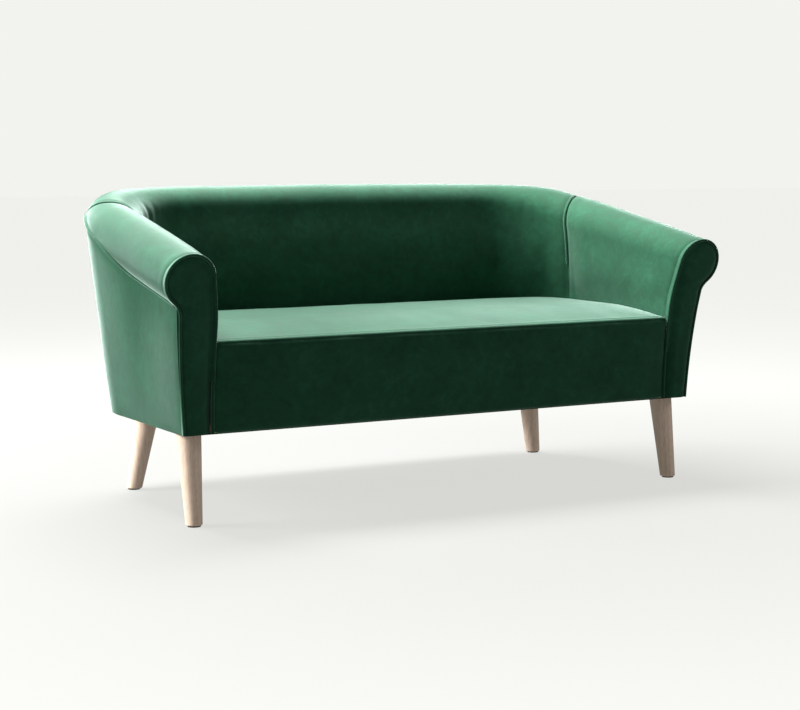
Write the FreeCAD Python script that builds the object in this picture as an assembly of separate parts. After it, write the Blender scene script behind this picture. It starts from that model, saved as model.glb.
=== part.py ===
"""Upholstered tub sofa on four turned wooden legs.

Millimetres. +Z is up, the seat faces -Y, and the origin is on the floor
under the middle of the sofa. "left" and "right" are as seen from the front.
"""
import FreeCAD
import Part
import math
import os

Vector = FreeCAD.Vector

# ---- driving dimensions -------------------------------------------------
overall_width = 1530.0      # across the scrolls at the front of the arms
overall_depth = 810.0       # front of the scrolls to the back of the piping
back_height = 753.0         # floor to the top of the back
arm_height = 620.0          # floor to the top of the arm scroll at the front
leg_height = 210.0          # floor to the underside of the body
seat_height = 420.0         # floor to the seat's front seam
seat_crown = 20.0           # rise of the seat behind its front seam
front_lean = 65.0           # how far the front leans forward towards its top

arm_width_foot = 75.0       # arm thickness at its foot
scroll_overhang = 60.0      # scroll beyond the foot of the arm, at the front
scroll_radius = 61.0        # top roll at the front of the arm
back_roll_radius = 70.0     # top roll along the back
arm_piping_drop = 115.0     # piping below the top of the arm, at the front
back_piping_drop = 56.0     # piping below the top of the back
arm_seam = 0.482            # seam between arm and back, as a share of half the shell, at the tuck
arm_seam_lean = 0.05        # how far that seam comes forwards on its way up to the piping
arm_toe_in = 18.0           # the roll's centre moves in by this, front to back
inside_splay = 10.0         # the inside of the arm moves out by this
corner_x = 325.0            # corner curve's centre, in from the scroll's edge
corner_y = 348.0            # corner curve's centre, in from the back
seat_to_back = 208.0        # inside back at seat level, in from the back
foot_to_back = 88.0         # foot of the outside back, in from the back

cloth = 2.0                 # cover and its backing
pad = 24.0                  # foam on the inside and over the roll
board = 16.0                # plywood of the arm fronts
panel = 3.0                 # fibreboard behind the outside covers
soft_gap = 0.3              # clearance between soft pieces
skin_gap = 0.7              # clearance of a pad under its tight cover
piping_radius = 3.5
facing_pad = 10.0           # foam on the arm fronts
facing_inset = 6.5          # facing cover's edge, in from the arm's outline

rail_height = 100.0         # seat rails
base_rail_height = 60.0     # rails round the foot of the shell
rail = 30.0                 # thickness of the seat rails
curved_rail = 25.0          # thickness of the rails under the outside
shelf = 12.0                # boards that the inside pads stand on
post = 26.0                 # uprights
top_rail_width = 46.0       # timber inside the roll
top_rail_height = 44.0
spacer = 30.0               # width of the bearers and spacers
block_height = 45.0         # blocks over the rear legs
corner_block = 90.0         # blocks over the front legs, along each rail
plate = 3.0                 # steel leg plate

leg_top_radius = 28.75
leg_foot_radius = 19.0
front_leg_place = (98.0, 125.0)      # top centre, in from the side and the front
front_leg_splay = (3.0, 33.0)        # foot beyond the top, sideways and forwards
rear_leg_place = (199.0, 214.0)      # top centre, in from the side and the back
rear_leg_splay = (35.0, 20.0)        # foot beyond the top, sideways and backwards
leg_foot_round = 3.0
glide = 3.0
bolt_radius = 4.0

spring_count = 9
spring_wire = 1.9           # radius of the zigzag wire
spring_loop = 13.0          # radius of each turn of the zigzag
spring_run = 20.0           # straight wire between two turns

# ---- derived places -----------------------------------------------------
half_width = overall_width / 2
half_depth = overall_depth / 2
centre_x = half_width - corner_x
centre_y = half_depth - corner_y
arm_end = 0.4               # the arm runs from 0 to here along the shell
corner_end = 0.7            # the corner ends here, and the back's middle is at 1
foot_x = half_width - scroll_overhang
inside_x = foot_x - arm_width_foot
frame_z = leg_height + plate
rail_top = frame_z + rail_height
shelf_top = rail_top + shelf
tuck_z = shelf_top + 5.0    # lower edge of the inside covers and pads
facing_start = 2 * piping_radius + 1.0
pad_depth = cloth + skin_gap + pad
wall_depth = cloth + soft_gap + panel
piping_height = arm_height - arm_piping_drop


def along(u, table):
    """Smooth value at u through a few (u, value) pairs, with no overshoot."""
    places = [pair[0] for pair in table]
    values = [pair[1] for pair in table]
    last = len(table) - 1
    rises = [(values[i + 1] - values[i]) / (places[i + 1] - places[i]) for i in range(last)]
    slopes = [rises[0]]
    for before, after in zip(rises, rises[1:]):
        slopes.append(2 * before * after / (before + after) if before * after > 0 else 0.0)
    slopes.append(rises[-1])
    i = max(j for j in range(last) if u >= places[j] - 1e-9)
    span = places[i + 1] - places[i]
    t = (u - places[i]) / span
    return ((2 * t**3 - 3 * t**2 + 1) * values[i] + (t**3 - 2 * t**2 + t) * span * slopes[i]
            + (3 * t**2 - 2 * t**3) * values[i + 1] + (t**3 - t**2) * span * slopes[i + 1])


def roll_radius(u):
    return along(u, [(0, scroll_radius), (arm_end, back_roll_radius - 4),
                     (corner_end, back_roll_radius), (1, back_roll_radius)])


def crest_z(u):
    rise = back_height - arm_height
    return along(u, [(0, arm_height), (arm_end, arm_height + 0.665 * rise),
                     (0.55, arm_height + 0.93 * rise), (corner_end, back_height - 3), (1, back_height)])


def piping_z(u):
    top = back_height - back_piping_drop
    rise = top - piping_height
    return along(u, [(0, piping_height), (0.2, piping_height + 0.21 * rise),
                     (arm_end, piping_height + 0.6 * rise), (0.49, top - 9), (0.6, top - 2), (1, top)])


def piping_angle(u):
    """Angle round the roll at which the piping lies; 0 is straight outwards."""
    height = piping_z(u) - crest_z(u) + roll_radius(u)
    return math.asin(max(-0.97, min(0.97, height / roll_radius(u))))


def kink_z(u):
    """Height at which the inside begins to lean."""
    front = seat_height + 55.0
    level = seat_height + seat_crown
    return along(u, [(0, front), (arm_end, level + 4), (1, level)])


# A rail gives half the width at the arm's front and end, and the back's place.
roll_back = half_depth - piping_radius - back_roll_radius * math.cos(piping_angle(1))
roll_rail = (half_width - scroll_radius, half_width - scroll_radius - arm_toe_in, roll_back)
inside_rail = (inside_x, inside_x + inside_splay, half_depth - seat_to_back)
foot_rail = (foot_x, foot_x - 7.0, half_depth - foot_to_back)


def front_y(z):
    """Face of the arm fronts and of the seat's front, which lean forwards."""
    t = (z - leg_height) / (arm_height - leg_height)
    return -half_depth + front_lean * (1 - t * t)


def plan(rail_sizes, u):
    """x, y (None on the arm) and outward direction of a rail at u."""
    front, end, back = rail_sizes
    if u <= arm_end:
        return front + (end - front) * u / arm_end, None, (1.0, 0.0)
    if u <= corner_end:
        turn = (u - arm_end) / (corner_end - arm_end) * math.pi / 2
        wide = end - centre_x
        deep = back - centre_y
        way = (math.cos(turn) / wide, math.sin(turn) / deep)
        length = math.hypot(*way)
        way = (way[0] / length, way[1] / length)
        return centre_x + wide * math.cos(turn), centre_y + deep * math.sin(turn), way
    return centre_x * (1 - u) / (1 - corner_end), back, (0.0, 1.0)


def place(x, y, z, u):
    if y is None:
        front = front_y(z) + facing_start
        y = front + (centre_y - front) * u / arm_end
    return Vector(x, y, z)


def roll_point(u, angle, radius):
    """Point at an angle and radius round the centre of the top roll."""
    x, y, way = plan(roll_rail, u)
    out = radius * math.cos(angle)
    z = crest_z(u) - roll_radius(u) + radius * math.sin(angle)
    if y is None:
        return x + out, None, z
    return x + out * way[0], y + out * way[1], z


def inside(u, v):
    """Inside of the shell: up from the tuck at v 0, over the roll, to the piping at v 1."""
    radius = roll_radius(u)
    low = kink_z(u)
    base_x, base_y, _ = plan(inside_rail, u)
    roll_x, roll_y, way = plan(roll_rail, u)
    across = roll_x - base_x
    if roll_y is not None:
        across = across * way[0] + (roll_y - base_y) * way[1]
    up = crest_z(u) - radius - low
    lean = math.atan2(across, up) - math.asin(radius / math.hypot(across, up))
    start = math.pi - lean
    if v >= 0.5:
        angle = start + (piping_angle(u) - start) * (v - 0.5) * 2
        return place(*roll_point(u, angle, radius), u)
    top_x, top_y, top_z = roll_point(u, start, radius)
    z = tuck_z + (top_z - tuck_z) * v * 2
    ease = 30.0
    rise = 0.0 if z < low - ease else z - low
    if abs(z - low) < ease:
        rise = (z - low + ease) ** 2 / (4 * ease)
    share = rise / (top_z - low)
    x = base_x + (top_x - base_x) * share
    y = None if base_y is None else base_y + (top_y - base_y) * share
    return place(x, y, z, u)


def outside(u, v):
    """Outside of the shell, from the piping at v 0 down to the foot at v 1."""
    x, y, z = roll_point(u, piping_angle(u), roll_radius(u))
    foot, foot_y, _ = plan(foot_rail, u)
    x = x + (foot - x) * v
    y = None if y is None else y + (foot_y - y) * v
    return place(x, y, z + (leg_height - z) * v, u)


def shell_point(face, u, v, depth=0.0):
    """Point at a depth under a face; u runs on past 1 over the other half."""
    def at(u, v):
        p = face(min(u, 2 - u), v)
        return p if u <= 1 else Vector(-p.x, p.y, p.z)
    if depth == 0:
        return at(u, v)
    step = 0.002
    run = at(min(u + step, 2), v) - at(max(u - step, 0), v)
    climb = at(u, min(v + step, 1)) - at(u, max(v - step, 0))
    return at(u, v) + run.cross(climb).normalize() * depth


def block(grid_low, grid_high):
    """Solid between two smooth skins through grids of points."""
    surfaces = []
    for grid in (grid_low, grid_high):
        surface = Part.BSplineSurface()
        surface.interpolate(grid)
        surfaces.append(surface)
    faces = [surface.toShape() for surface in surfaces]
    edges = []
    for surface in surfaces:
        a0, a1, b0, b1 = surface.bounds()
        edges.append([surface.uIso(a0), surface.uIso(a1), surface.vIso(b0), surface.vIso(b1)])
    for one, two in zip(*edges):
        faces.append(Part.makeRuledSurface(one.toShape(), two.toShape(), 1))
    shell = Part.Shell(faces)
    shell.sewShape()
    solid = Part.Solid(shell)
    if solid.Volume < 0:
        solid.reverse()
    return solid


def layer(face, u_range, v_range, depths, count_u, count_v):
    """Skin or pad that follows a face of the shell between two depths."""
    grids = []
    for depth in depths:
        grid = []
        for i in range(count_u + 1):
            row = []
            for j in range(count_v + 1):
                v = v_range[0] + (v_range[1] - v_range[0]) * j / count_v
                ends = [end(v) if callable(end) else end for end in u_range]
                u = ends[0] + (ends[1] - ends[0]) * i / count_u
                row.append(shell_point(face, u, v, depth))
            grid.append(row)
        grids.append(grid)
    return block(*grids)


def mirror(solid):
    return solid.mirror(Vector(0, 0, 0), Vector(1, 0, 0))


def box(x0, x1, y0, y1, z0, z1):
    return Part.makeBox(x1 - x0, y1 - y0, z1 - z0, Vector(x0, y0, z0))


def loft(wires, ruled=False):
    solid = Part.makeLoft(wires, True, ruled)
    if solid.Volume < 0:
        solid.reverse()
    return solid


def closed(points):
    return Part.makePolygon(points + [points[0]])


def frames(points, steady):
    """Each point with its sideways and upward ways along a smooth path."""
    last = len(points) - 1
    for i, point in enumerate(points):
        way = points[min(i + 1, last)] - points[max(i - 1, 0)]
        side = way.cross(steady).normalize()
        yield point, side, side.cross(way).normalize()


def tube(points, radius, steady):
    """Round cord through points on a smooth path; steady is a way it never runs."""
    grids = ([], [])
    for point, side, up in frames(points, steady):
        for grid, low in zip(grids, (200, 20)):
            turns = [math.radians(low + 140 * i / 6) for i in range(7)]
            row = [point + side * radius * math.cos(a) + up * radius * math.sin(a) for a in turns]
            grid.append(row if low == 200 else row[::-1])
    return block(*grids)


def bar(points, steady, wide, high):
    """Timber of a rectangular section along a smooth path."""
    grids = ([], [])
    for point, side, up in frames(points, steady):
        for grid, end in zip(grids, (-0.5, 0.5)):
            grid.append([point + side * wide * share + up * high * end for share in (-0.5, 0, 0.5)])
    return block(*grids)


# ---- arm fronts ---------------------------------------------------------
neck_radius = 25.0          # hollow under the scroll
neck_x = foot_x + 19.0      # outside of the arm front, just under the hollow


def outline(inset, outer_inset=None, bottom=leg_height):
    """Arm front seen from the front, as a closed wire in the plane y 0."""
    smooth = outer_inset is None
    outer_inset = inset if smooth else outer_inset
    centre_z = arm_height - scroll_radius
    across = neck_x + neck_radius - roll_rail[0]
    neck_z = centre_z - math.sqrt((scroll_radius + neck_radius) ** 2 - across**2)
    turn = math.atan2(neck_z - centre_z, across)

    def on_circle(x, z, radius, angle):
        return Vector(x + radius * math.cos(angle), 0, z + radius * math.sin(angle))

    rise = []
    for i in range(9):
        v = 0.15 + 0.35 * i / 8
        way = inside(0, v + 0.002) - inside(0, v - 0.002)
        at = inside(0, v)
        rise.append(Vector(at.x, 0, at.z) + Vector(way.z, 0, -way.x).normalize() * inset)
    curve = Part.BSplineCurve()
    curve.interpolate(rise)
    radius = scroll_radius - inset
    start = math.atan2(rise[-1].z - centre_z, rise[-1].x - roll_rail[0]) % (2 * math.pi)
    top = on_circle(roll_rail[0], centre_z, radius, (start + turn) / 2)
    tip = on_circle(roll_rail[0], centre_z, radius, turn)
    neck_end = Vector(neck_x - outer_inset, 0, neck_z)
    corner = Vector(rise[0].x, 0, bottom)
    foot = Vector(foot_x - outer_inset, 0, bottom)
    edges = [Part.makeLine(corner, rise[0]), curve.toShape(), Part.Arc(rise[-1], top, tip).toShape()]
    if smooth:
        bend = on_circle(neck_x + neck_radius, neck_z, neck_radius + inset, math.pi + turn / 2)
        edges.append(Part.Arc(tip, bend, neck_end).toShape())
    else:
        edges.append(Part.makeLine(tip, neck_end))
    edges.append(Part.makeLine(neck_end, foot))
    edges.append(Part.makeLine(foot, corner))
    return Part.Wire(edges)


def front_slab(near, far, flat_back=False, bottom=leg_height - 10.0, top=arm_height + 10.0):
    """Slab across the whole width between two depths behind the front face; its back may be flat."""
    middle = (bottom + top) / 2

    def edge(depth, z):
        return Vector(-half_width, front_y(z) + depth, z)
    face = Part.Arc(edge(near, bottom), edge(near, middle), edge(near, top)).toShape()
    if flat_back:
        corners = [edge(near, top), edge(far, top), edge(far, bottom), edge(near, bottom)]
        back = Part.makePolygon(corners).Edges
    else:
        back = [Part.makeLine(edge(near, top), edge(far, top)),
                Part.Arc(edge(far, top), edge(far, middle), edge(far, bottom)).toShape(),
                Part.makeLine(edge(far, bottom), edge(near, bottom))]
    return Part.Face(Part.Wire([face] + back)).extrude(Vector(overall_width, 0, 0))


def arm_front_piece(wire, near, far):
    prism = Part.Face(wire).extrude(Vector(0, -overall_depth, 0))
    return prism.common(front_slab(near, far)).Solids[0]


def facing_path():
    """Middle of the cord round an arm front."""
    path = outline(piping_radius - 1.0, bottom=leg_height + piping_radius)
    edges = path.Edges[:5]
    points = []
    for edge, count in zip(edges, (8, 8, 14, 4, 9)):
        low, high = edge.ParameterRange
        for i in range(count):
            points.append(edge.valueAt(low + (high - low) * i / count))
    points.append(edges[-1].valueAt(edges[-1].ParameterRange[1]))
    return [Vector(p.x, front_y(p.z) + piping_radius + 0.7, p.z) for p in points]


# ---- the seat -----------------------------------------------------------
def seat_edge(y, inset):
    """Half the seat's width at y, following the inside of the shell."""
    front, end, back = inside_rail
    if y <= centre_y:
        t = (y + half_depth - front_lean) / (centre_y + half_depth - front_lean)
        return front + (end - front) * max(t, 0.0) - inset
    share = (y - centre_y) / (back - inset - centre_y)
    return centre_x + (end - inset - centre_x) * math.sqrt(max(0.0, 1 - share * share))


def seat_top(y):
    """Height of the seat at y: its front seam, then a soft rise."""
    t = min(1.0, max(0.0, (y - front_y(seat_height)) / 130.0))
    return seat_height + seat_crown * (1 - (1 - t) ** 2.2)


def seat_layer(inset, front, low, high, count_x=12):
    """Slab in the shape of the seat between two heights given as functions of y."""
    back = inside_rail[2] - inset
    rows = [front + (centre_y - front) * (i / 8) ** 1.4 for i in range(8)]
    rows += [centre_y + (back - centre_y) * math.sin(math.pi / 2 * i / 9) for i in range(10)]
    grids = []
    for height in (low, high):
        grid = []
        for y in rows:
            edge = seat_edge(y, inset)
            grid.append([Vector(edge * (2 * j / count_x - 1), y, height(y)) for j in range(count_x + 1)])
        grids.append(grid)
    return block(*grids)


def add_soft_parts(nodes):
    behind = 0.0095             # pads start behind the arm front's own pad

    def seam(v):                # seam between the arm and the back, on both halves
        return arm_seam - arm_seam_lean * v

    def back_seam(v):           # a hair further on, so that the two meet without sharing
        return seam(v) + 0.001

    def far_seam(v):
        return 2 - back_seam(v)

    end = 0.984                 # covers stop beside the piping
    pad_end = 0.935
    for side, turn in (("right", lambda s: s), ("left", mirror)):
        nodes[f"inside_arm_cover_{side}"] = turn(layer(inside, (0, seam), (0, end), (0, cloth), 24, 20))
        nodes[f"inside_arm_foam_{side}"] = turn(
            layer(inside, (behind, seam), (0, pad_end), (cloth + skin_gap, pad_depth), 24, 20))
        nodes[f"outside_arm_cover_{side}"] = turn(
            layer(outside, (0, corner_end), (0.024, 1), (0, cloth), 42, 8))
        nodes[f"outside_arm_panel_{side}"] = turn(
            layer(outside, (behind, corner_end), (0.045, 0.985), (cloth + soft_gap + 0.1, wall_depth), 42, 8))
    nodes["inside_back_cover"] = layer(inside, (back_seam, far_seam), (0, end), (0, cloth), 30, 20)
    nodes["inside_back_foam"] = layer(
        inside, (back_seam, far_seam), (0, pad_end), (cloth + skin_gap, pad_depth), 30, 20)
    nodes["outside_back_cover"] = layer(outside, (corner_end, 2 - corner_end), (0.024, 1), (0, cloth), 12, 5)
    nodes["outside_back_panel"] = layer(
        outside, (corner_end, 2 - corner_end), (0.045, 0.985), (cloth + soft_gap, wall_depth), 12, 5)

    cord = [shell_point(outside, 2 * i / 80, 0, -1.0) for i in range(81)]
    nodes["roll_piping"] = tube(cord, piping_radius, Vector(0, 0, 1))

    ring = facing_path()
    cover = arm_front_piece(outline(facing_inset), 0, cloth)
    foam = arm_front_piece(outline(facing_inset, bottom=frame_z), cloth + soft_gap, cloth + facing_pad)
    cord = tube(ring, piping_radius, Vector(0, 1, 0))
    for side, turn in (("right", lambda s: s), ("left", mirror)):
        nodes[f"arm_facing_cover_{side}"] = turn(cover)
        nodes[f"arm_facing_foam_{side}"] = turn(foam)
        nodes[f"arm_facing_piping_{side}"] = turn(cord)


def add_seat(nodes):
    front = -half_depth + front_lean + 5.0 + soft_gap       # back of the front pad's foot
    top_width = inside_x - 6.0
    low_width = inside_x - 1.0

    def front_shape(inset, low, high):
        return closed([Vector(-low_width + inset, 0, low), Vector(low_width - inset, 0, low),
                       Vector(top_width - inset, 0, high), Vector(-top_width + inset, 0, high)])

    nodes["front_border_cover"] = arm_front_piece(front_shape(0, leg_height, seat_height - cloth), 0, cloth)
    shape = front_shape(1.5, frame_z, seat_height - cloth - soft_gap)
    prism = Part.Face(shape).extrude(Vector(0, -overall_depth, 0))
    rear = box(-half_width, half_width, -half_depth, front - soft_gap, 0, back_height)
    foam = prism.common(front_slab(cloth + soft_gap, overall_depth / 2, True))
    nodes["front_border_foam"] = foam.common(rear).Solids[0]

    def level(height):
        return lambda y: height

    def under_cover(y):
        return seat_top(y) - cloth - soft_gap

    def cover_low(y):
        return seat_top(y) - cloth

    edge = 3.5
    nodes["seat_cover"] = seat_layer(edge - cloth, front_y(seat_height) + 0.2, cover_low, seat_top)
    nodes["seat_foam"] = seat_layer(edge, front, level(shelf_top + soft_gap), under_cover)
    nodes["spring_felt"] = box(-inside_x + 40, inside_x - 40, front + rail + 6, seat_rail_y - 12,
                               spring_z + spring_wire + soft_gap, shelf_top)


def ring_face(inset):
    """Plan of the shell's foot, drawn in by an inset, as a face at z 0."""
    front, end, back = foot_rail
    wide = end - inset - centre_x
    deep = back - inset - centre_y
    right = [Vector(centre_x + wide * math.cos(a), centre_y + deep * math.sin(a), 0)
             for a in (math.pi / 2 * i / 12 for i in range(13))]
    left = [Vector(-p.x, p.y, 0) for p in right[::-1]]
    curves = []
    for points in (right, left):
        curve = Part.BSplineCurve()
        curve.interpolate(points)
        curves.append(curve.toShape())
    a = Vector(front - inset, -half_depth, 0)
    b = Vector(-a.x, a.y, 0)
    edges = [Part.makeLine(a, right[0]), curves[0], Part.makeLine(right[-1], left[0]), curves[1],
             Part.makeLine(left[-1], b), Part.makeLine(b, a)]
    return Part.Face(Part.Wire(edges))


def ring(inset, low, high):
    face = ring_face(inset)
    face.translate(Vector(0, 0, low))
    return face.extrude(Vector(0, 0, high - low))


board_inset = 30.0                                       # arm front board, in from the outline
board_back = cloth + facing_pad + soft_gap + board       # its back, behind the front face
seat_rail_front = -half_depth + front_lean + 5.0 + soft_gap
seat_rail_y = inside_rail[2] - 67.0                      # front of the rear seat rail
spring_z = rail_top + 7.0
side_x = inside_x - 2.0 + rail                           # outside of the side rails
wall_inset = wall_depth + soft_gap
joint = 0.05                # glue line between timbers that meet on a curve
arm_post_y = centre_y - 20.0


def behind_board(shape):
    """Keeps a timber behind the arm fronts."""
    return shape.common(front_slab(board_back + joint, overall_depth, True)).Solids[0]


def base_member(shape):
    """Keeps a timber inside the outside covers and behind the arm fronts."""
    return behind_board(shape.common(ring(wall_inset, 0, back_height)))


def add_base_frame(nodes):
    low, high = frame_z, rail_top
    base_top = frame_z + base_rail_height
    rail_end = side_x - rail
    nodes["front_seat_rail"] = box(-rail_end, rail_end, seat_rail_front, seat_rail_front + rail, low, high)
    nodes["rear_seat_rail"] = box(-rail_end, rail_end, seat_rail_y, seat_rail_y + rail, low, high)
    inner = ring(wall_inset + curved_rail + joint, 0, back_height)
    side_front = front_y(low) + cloth + facing_pad + soft_gap
    side = box(side_x - rail, side_x, side_front, seat_rail_y + rail, low, high).common(inner)
    arm = base_member(box(side_x, half_width, -half_depth, centre_y, low, base_top))
    corner = base_member(box(centre_x, half_width, centre_y, half_depth, low, base_top)).cut(
        ring(wall_inset + curved_rail, 0, back_height))
    board_wire = outline(board_inset, wall_inset, frame_z)
    front_board = arm_front_piece(board_wire, board_back - board, board_back)
    for name, solid in (("side_seat_rail", side), ("arm_base_rail", arm), ("corner_base_rail", corner),
                        ("arm_front_board", front_board)):
        nodes[f"{name}_right"] = solid
        nodes[f"{name}_left"] = mirror(solid)
    back_out = foot_rail[2] - wall_inset
    nodes["back_base_rail"] = box(-centre_x, centre_x, back_out - curved_rail, back_out, low, base_top)
    half = spacer / 2
    spacers = [box(x - half, x + half, seat_rail_y + rail, back_out - curved_rail, low, base_top)
               for x in (-centre_x * 0.5, 0, centre_x * 0.5)]
    nodes["back_spacers"] = Part.makeCompound(spacers)
    bearers = [box(x - half, x + half, seat_rail_front + rail, seat_rail_y, low, low + 50)
               for x in (-inside_x / 3, inside_x / 3)]
    nodes["seat_bearers"] = Part.makeCompound(bearers)
    x, y = half_width - rear_leg_place[0], half_depth - rear_leg_place[1]
    rear_block = box(x - 46, x + 46, seat_rail_y + rail, y + 38, low, low + block_height).common(inner)
    nodes["rear_leg_blocks"] = Part.makeCompound([rear_block, mirror(rear_block)])
    corner_at = Vector(side_x - rail, seat_rail_front + rail, low)
    brace = Part.Face(closed([corner_at, corner_at - Vector(corner_block, 0, 0),
                              corner_at + Vector(0, corner_block, 0)]))
    front_block = brace.extrude(Vector(0, 0, 40))
    nodes["front_corner_blocks"] = Part.makeCompound([front_block, mirror(front_block)])


def add_shell_frame(nodes):
    def centre(u, drop=0.0, back=0.0):
        x, y, z = roll_point(u, math.pi / 2, 0)
        return place(x, y, z - drop, u) + Vector(0, back, 0)

    def top_bar(first, last, count):
        path = [centre(first + (last - first) * i / count) for i in range(count + 1)]
        return bar(path, Vector(0, 0, 1), top_rail_width, top_rail_height)

    over = 0.03             # each bar is built a little past its joint, and cut there
    arm = behind_board(top_bar(0, arm_end + over, 7))
    arm = arm.common(box(0, half_width, -half_depth, centre_y, 0, back_height))
    corner = top_bar(arm_end - over, corner_end + over, 12)
    corner = corner.common(box(centre_x, half_width, centre_y, half_depth, 0, back_height))
    for name, solid in (("arm_top_rail", arm), ("corner_top_rail", corner)):
        nodes[f"{name}_right"] = solid
        nodes[f"{name}_left"] = mirror(solid)
    halves = [centre(corner_end - over + (1 - corner_end + over) * i / 5) for i in range(6)]
    halves += [Vector(-p.x, p.y, p.z) for p in halves[-2::-1]]
    back = bar(halves, Vector(0, 0, 1), top_rail_width, top_rail_height)
    back = back.common(box(-centre_x, centre_x, 0, half_depth, 0, back_height))
    nodes["back_top_rail"] = back
    base_top = frame_z + base_rail_height

    def upright(x0, y0, x1, y1, top, wide, deep):
        wires = []
        for x, y, z in ((x0, y0, base_top), (x1, y1, top)):
            wires.append(closed([Vector(x + a * wide / 2, y + b * deep / 2, z)
                                 for a, b in ((-1, -1), (1, -1), (1, 1), (-1, 1))]))
        return loft(wires, True)

    top = centre(arm_end * (arm_post_y + half_depth) / (centre_y + half_depth))
    foot = foot_rail[1] - wall_inset - 12.0
    arm_post = upright(foot, arm_post_y, top.x, arm_post_y, top.z, 24.0, post).cut(arm)
    nodes["rear_arm_posts"] = Part.makeCompound([arm_post, mirror(arm_post)])
    y = foot_rail[2] - wall_inset - curved_rail / 2
    posts = []
    for x in (centre_x - 20, centre_x * 0.34):
        top = centre(1 - x / centre_x * (1 - corner_end))
        back_post = upright(x, y, x, top.y, top.z, 36.0, curved_rail).cut(back).Solids[0]
        posts += [back_post, mirror(back_post)]
    nodes["back_posts"] = Part.makeCompound(posts)


def add_shelves(nodes):
    inner = ring(wall_inset + curved_rail, 0, back_height)
    outer = foot_rail[1] - wall_inset
    arm = box(inside_x + 16, outer, -half_depth, arm_post_y - post / 2, rail_top, shelf_top)
    arm = behind_board(arm)
    nodes["arm_shelves"] = Part.makeCompound([arm, mirror(arm)])
    back = box(-inside_x - 30, inside_x + 30, seat_rail_y + rail / 2, half_depth, rail_top, shelf_top)
    post_front = foot_rail[2] - wall_inset - curved_rail
    back = back.common(inner).common(box(-half_width, half_width, 0, post_front, 0, back_height))
    nodes["back_shelf"] = back.Solids[0]


def add_springs(nodes):
    first = seat_rail_front + rail / 2
    last = seat_rail_y + rail / 4
    turns = int((last - first - 2 * spring_loop) / (2 * spring_loop))
    lead = (last - first - turns * 2 * spring_loop) / 2
    reach = spring_run / 2
    slant = reach * (1 - math.sqrt(0.5))
    lean = reach * math.sqrt(0.5)

    def zigzag(x):
        """A lead at each end, and straight runs joined by half circles between them."""
        y = first + lead
        edges = [Part.makeLine(Vector(x, first, spring_z), Vector(x, y - reach, spring_z)),
                 Part.Arc(Vector(x, y - reach, spring_z),
                          Vector(x + slant, y - slant, spring_z),
                          Vector(x + reach, y, spring_z)).toShape()]
        side = 1
        for turn in range(turns):
            at = x + side * reach
            out = Vector(at + side * spring_loop, y + spring_loop, spring_z)
            end = Vector(at, y + 2 * spring_loop, spring_z)
            edges.append(Part.Arc(Vector(at, y, spring_z), out, end).toShape())
            y += 2 * spring_loop
            side = -side
            if turn < turns - 1:
                edges.append(Part.makeLine(Vector(at, y, spring_z), Vector(x + side * reach, y, spring_z)))
        at = x - side * reach
        edges.append(Part.Arc(Vector(at, y, spring_z),
                              Vector(at + side * lean, y + slant, spring_z),
                              Vector(x, y + reach, spring_z)).toShape())
        edges.append(Part.makeLine(Vector(x, y + reach, spring_z), Vector(x, last, spring_z)))
        path = Part.Wire(edges)
        start = Part.Wire(Part.makeCircle(spring_wire, Vector(x, first, spring_z), Vector(0, 1, 0)))
        return path.makePipeShell([start], True, False)

    pitch = (2 * inside_x - 120) / (spring_count - 1)
    places = [pitch * (i - (spring_count - 1) / 2) for i in range(spring_count)]
    nodes["seat_springs"] = Part.makeCompound([zigzag(x) for x in places])
    clips = []
    for x in places:
        for y in (first, last - 14):
            clip = box(x - 9, x + 9, y, y + 14, rail_top, spring_z + spring_wire + 1.2)
            hole = Part.makeCylinder(spring_wire, 40, Vector(x, y - 10, spring_z), Vector(0, 1, 0))
            clips.append(clip.cut(hole))
    nodes["spring_clips"] = Part.makeCompound(clips)


def add_webbing(nodes):
    """Straps behind the inside pads, from one arm front round the back to the other."""
    straps = []
    strap_depths = (pad_depth + 1.2, pad_depth + 2.4)
    first = arm_end * (board_back - facing_start) / (centre_y - front_y(arm_height)) + 0.004
    for low, high in ((0.16, 0.24), (0.3, 0.38), (0.44, 0.5)):
        straps.append(layer(inside, (first, 2 - first), (low, high), strap_depths, 44, 3))
    nodes["inside_webbing"] = Part.makeCompound(straps)


def leg_places():
    """Name, top centre and foot centre of each leg."""
    ends = (("front", front_leg_place, front_leg_splay, -1), ("rear", rear_leg_place, rear_leg_splay, 1))
    for name, spot, splay, end in ends:
        x = half_width - spot[0]
        y = end * (half_depth - spot[1])
        for side, sign in (("right", 1), ("left", -1)):
            top = Vector(sign * x, y, leg_height)
            yield f"{name}_{side}_leg", top, Vector(sign * (x + splay[0]), y + end * splay[1], 0)


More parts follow.
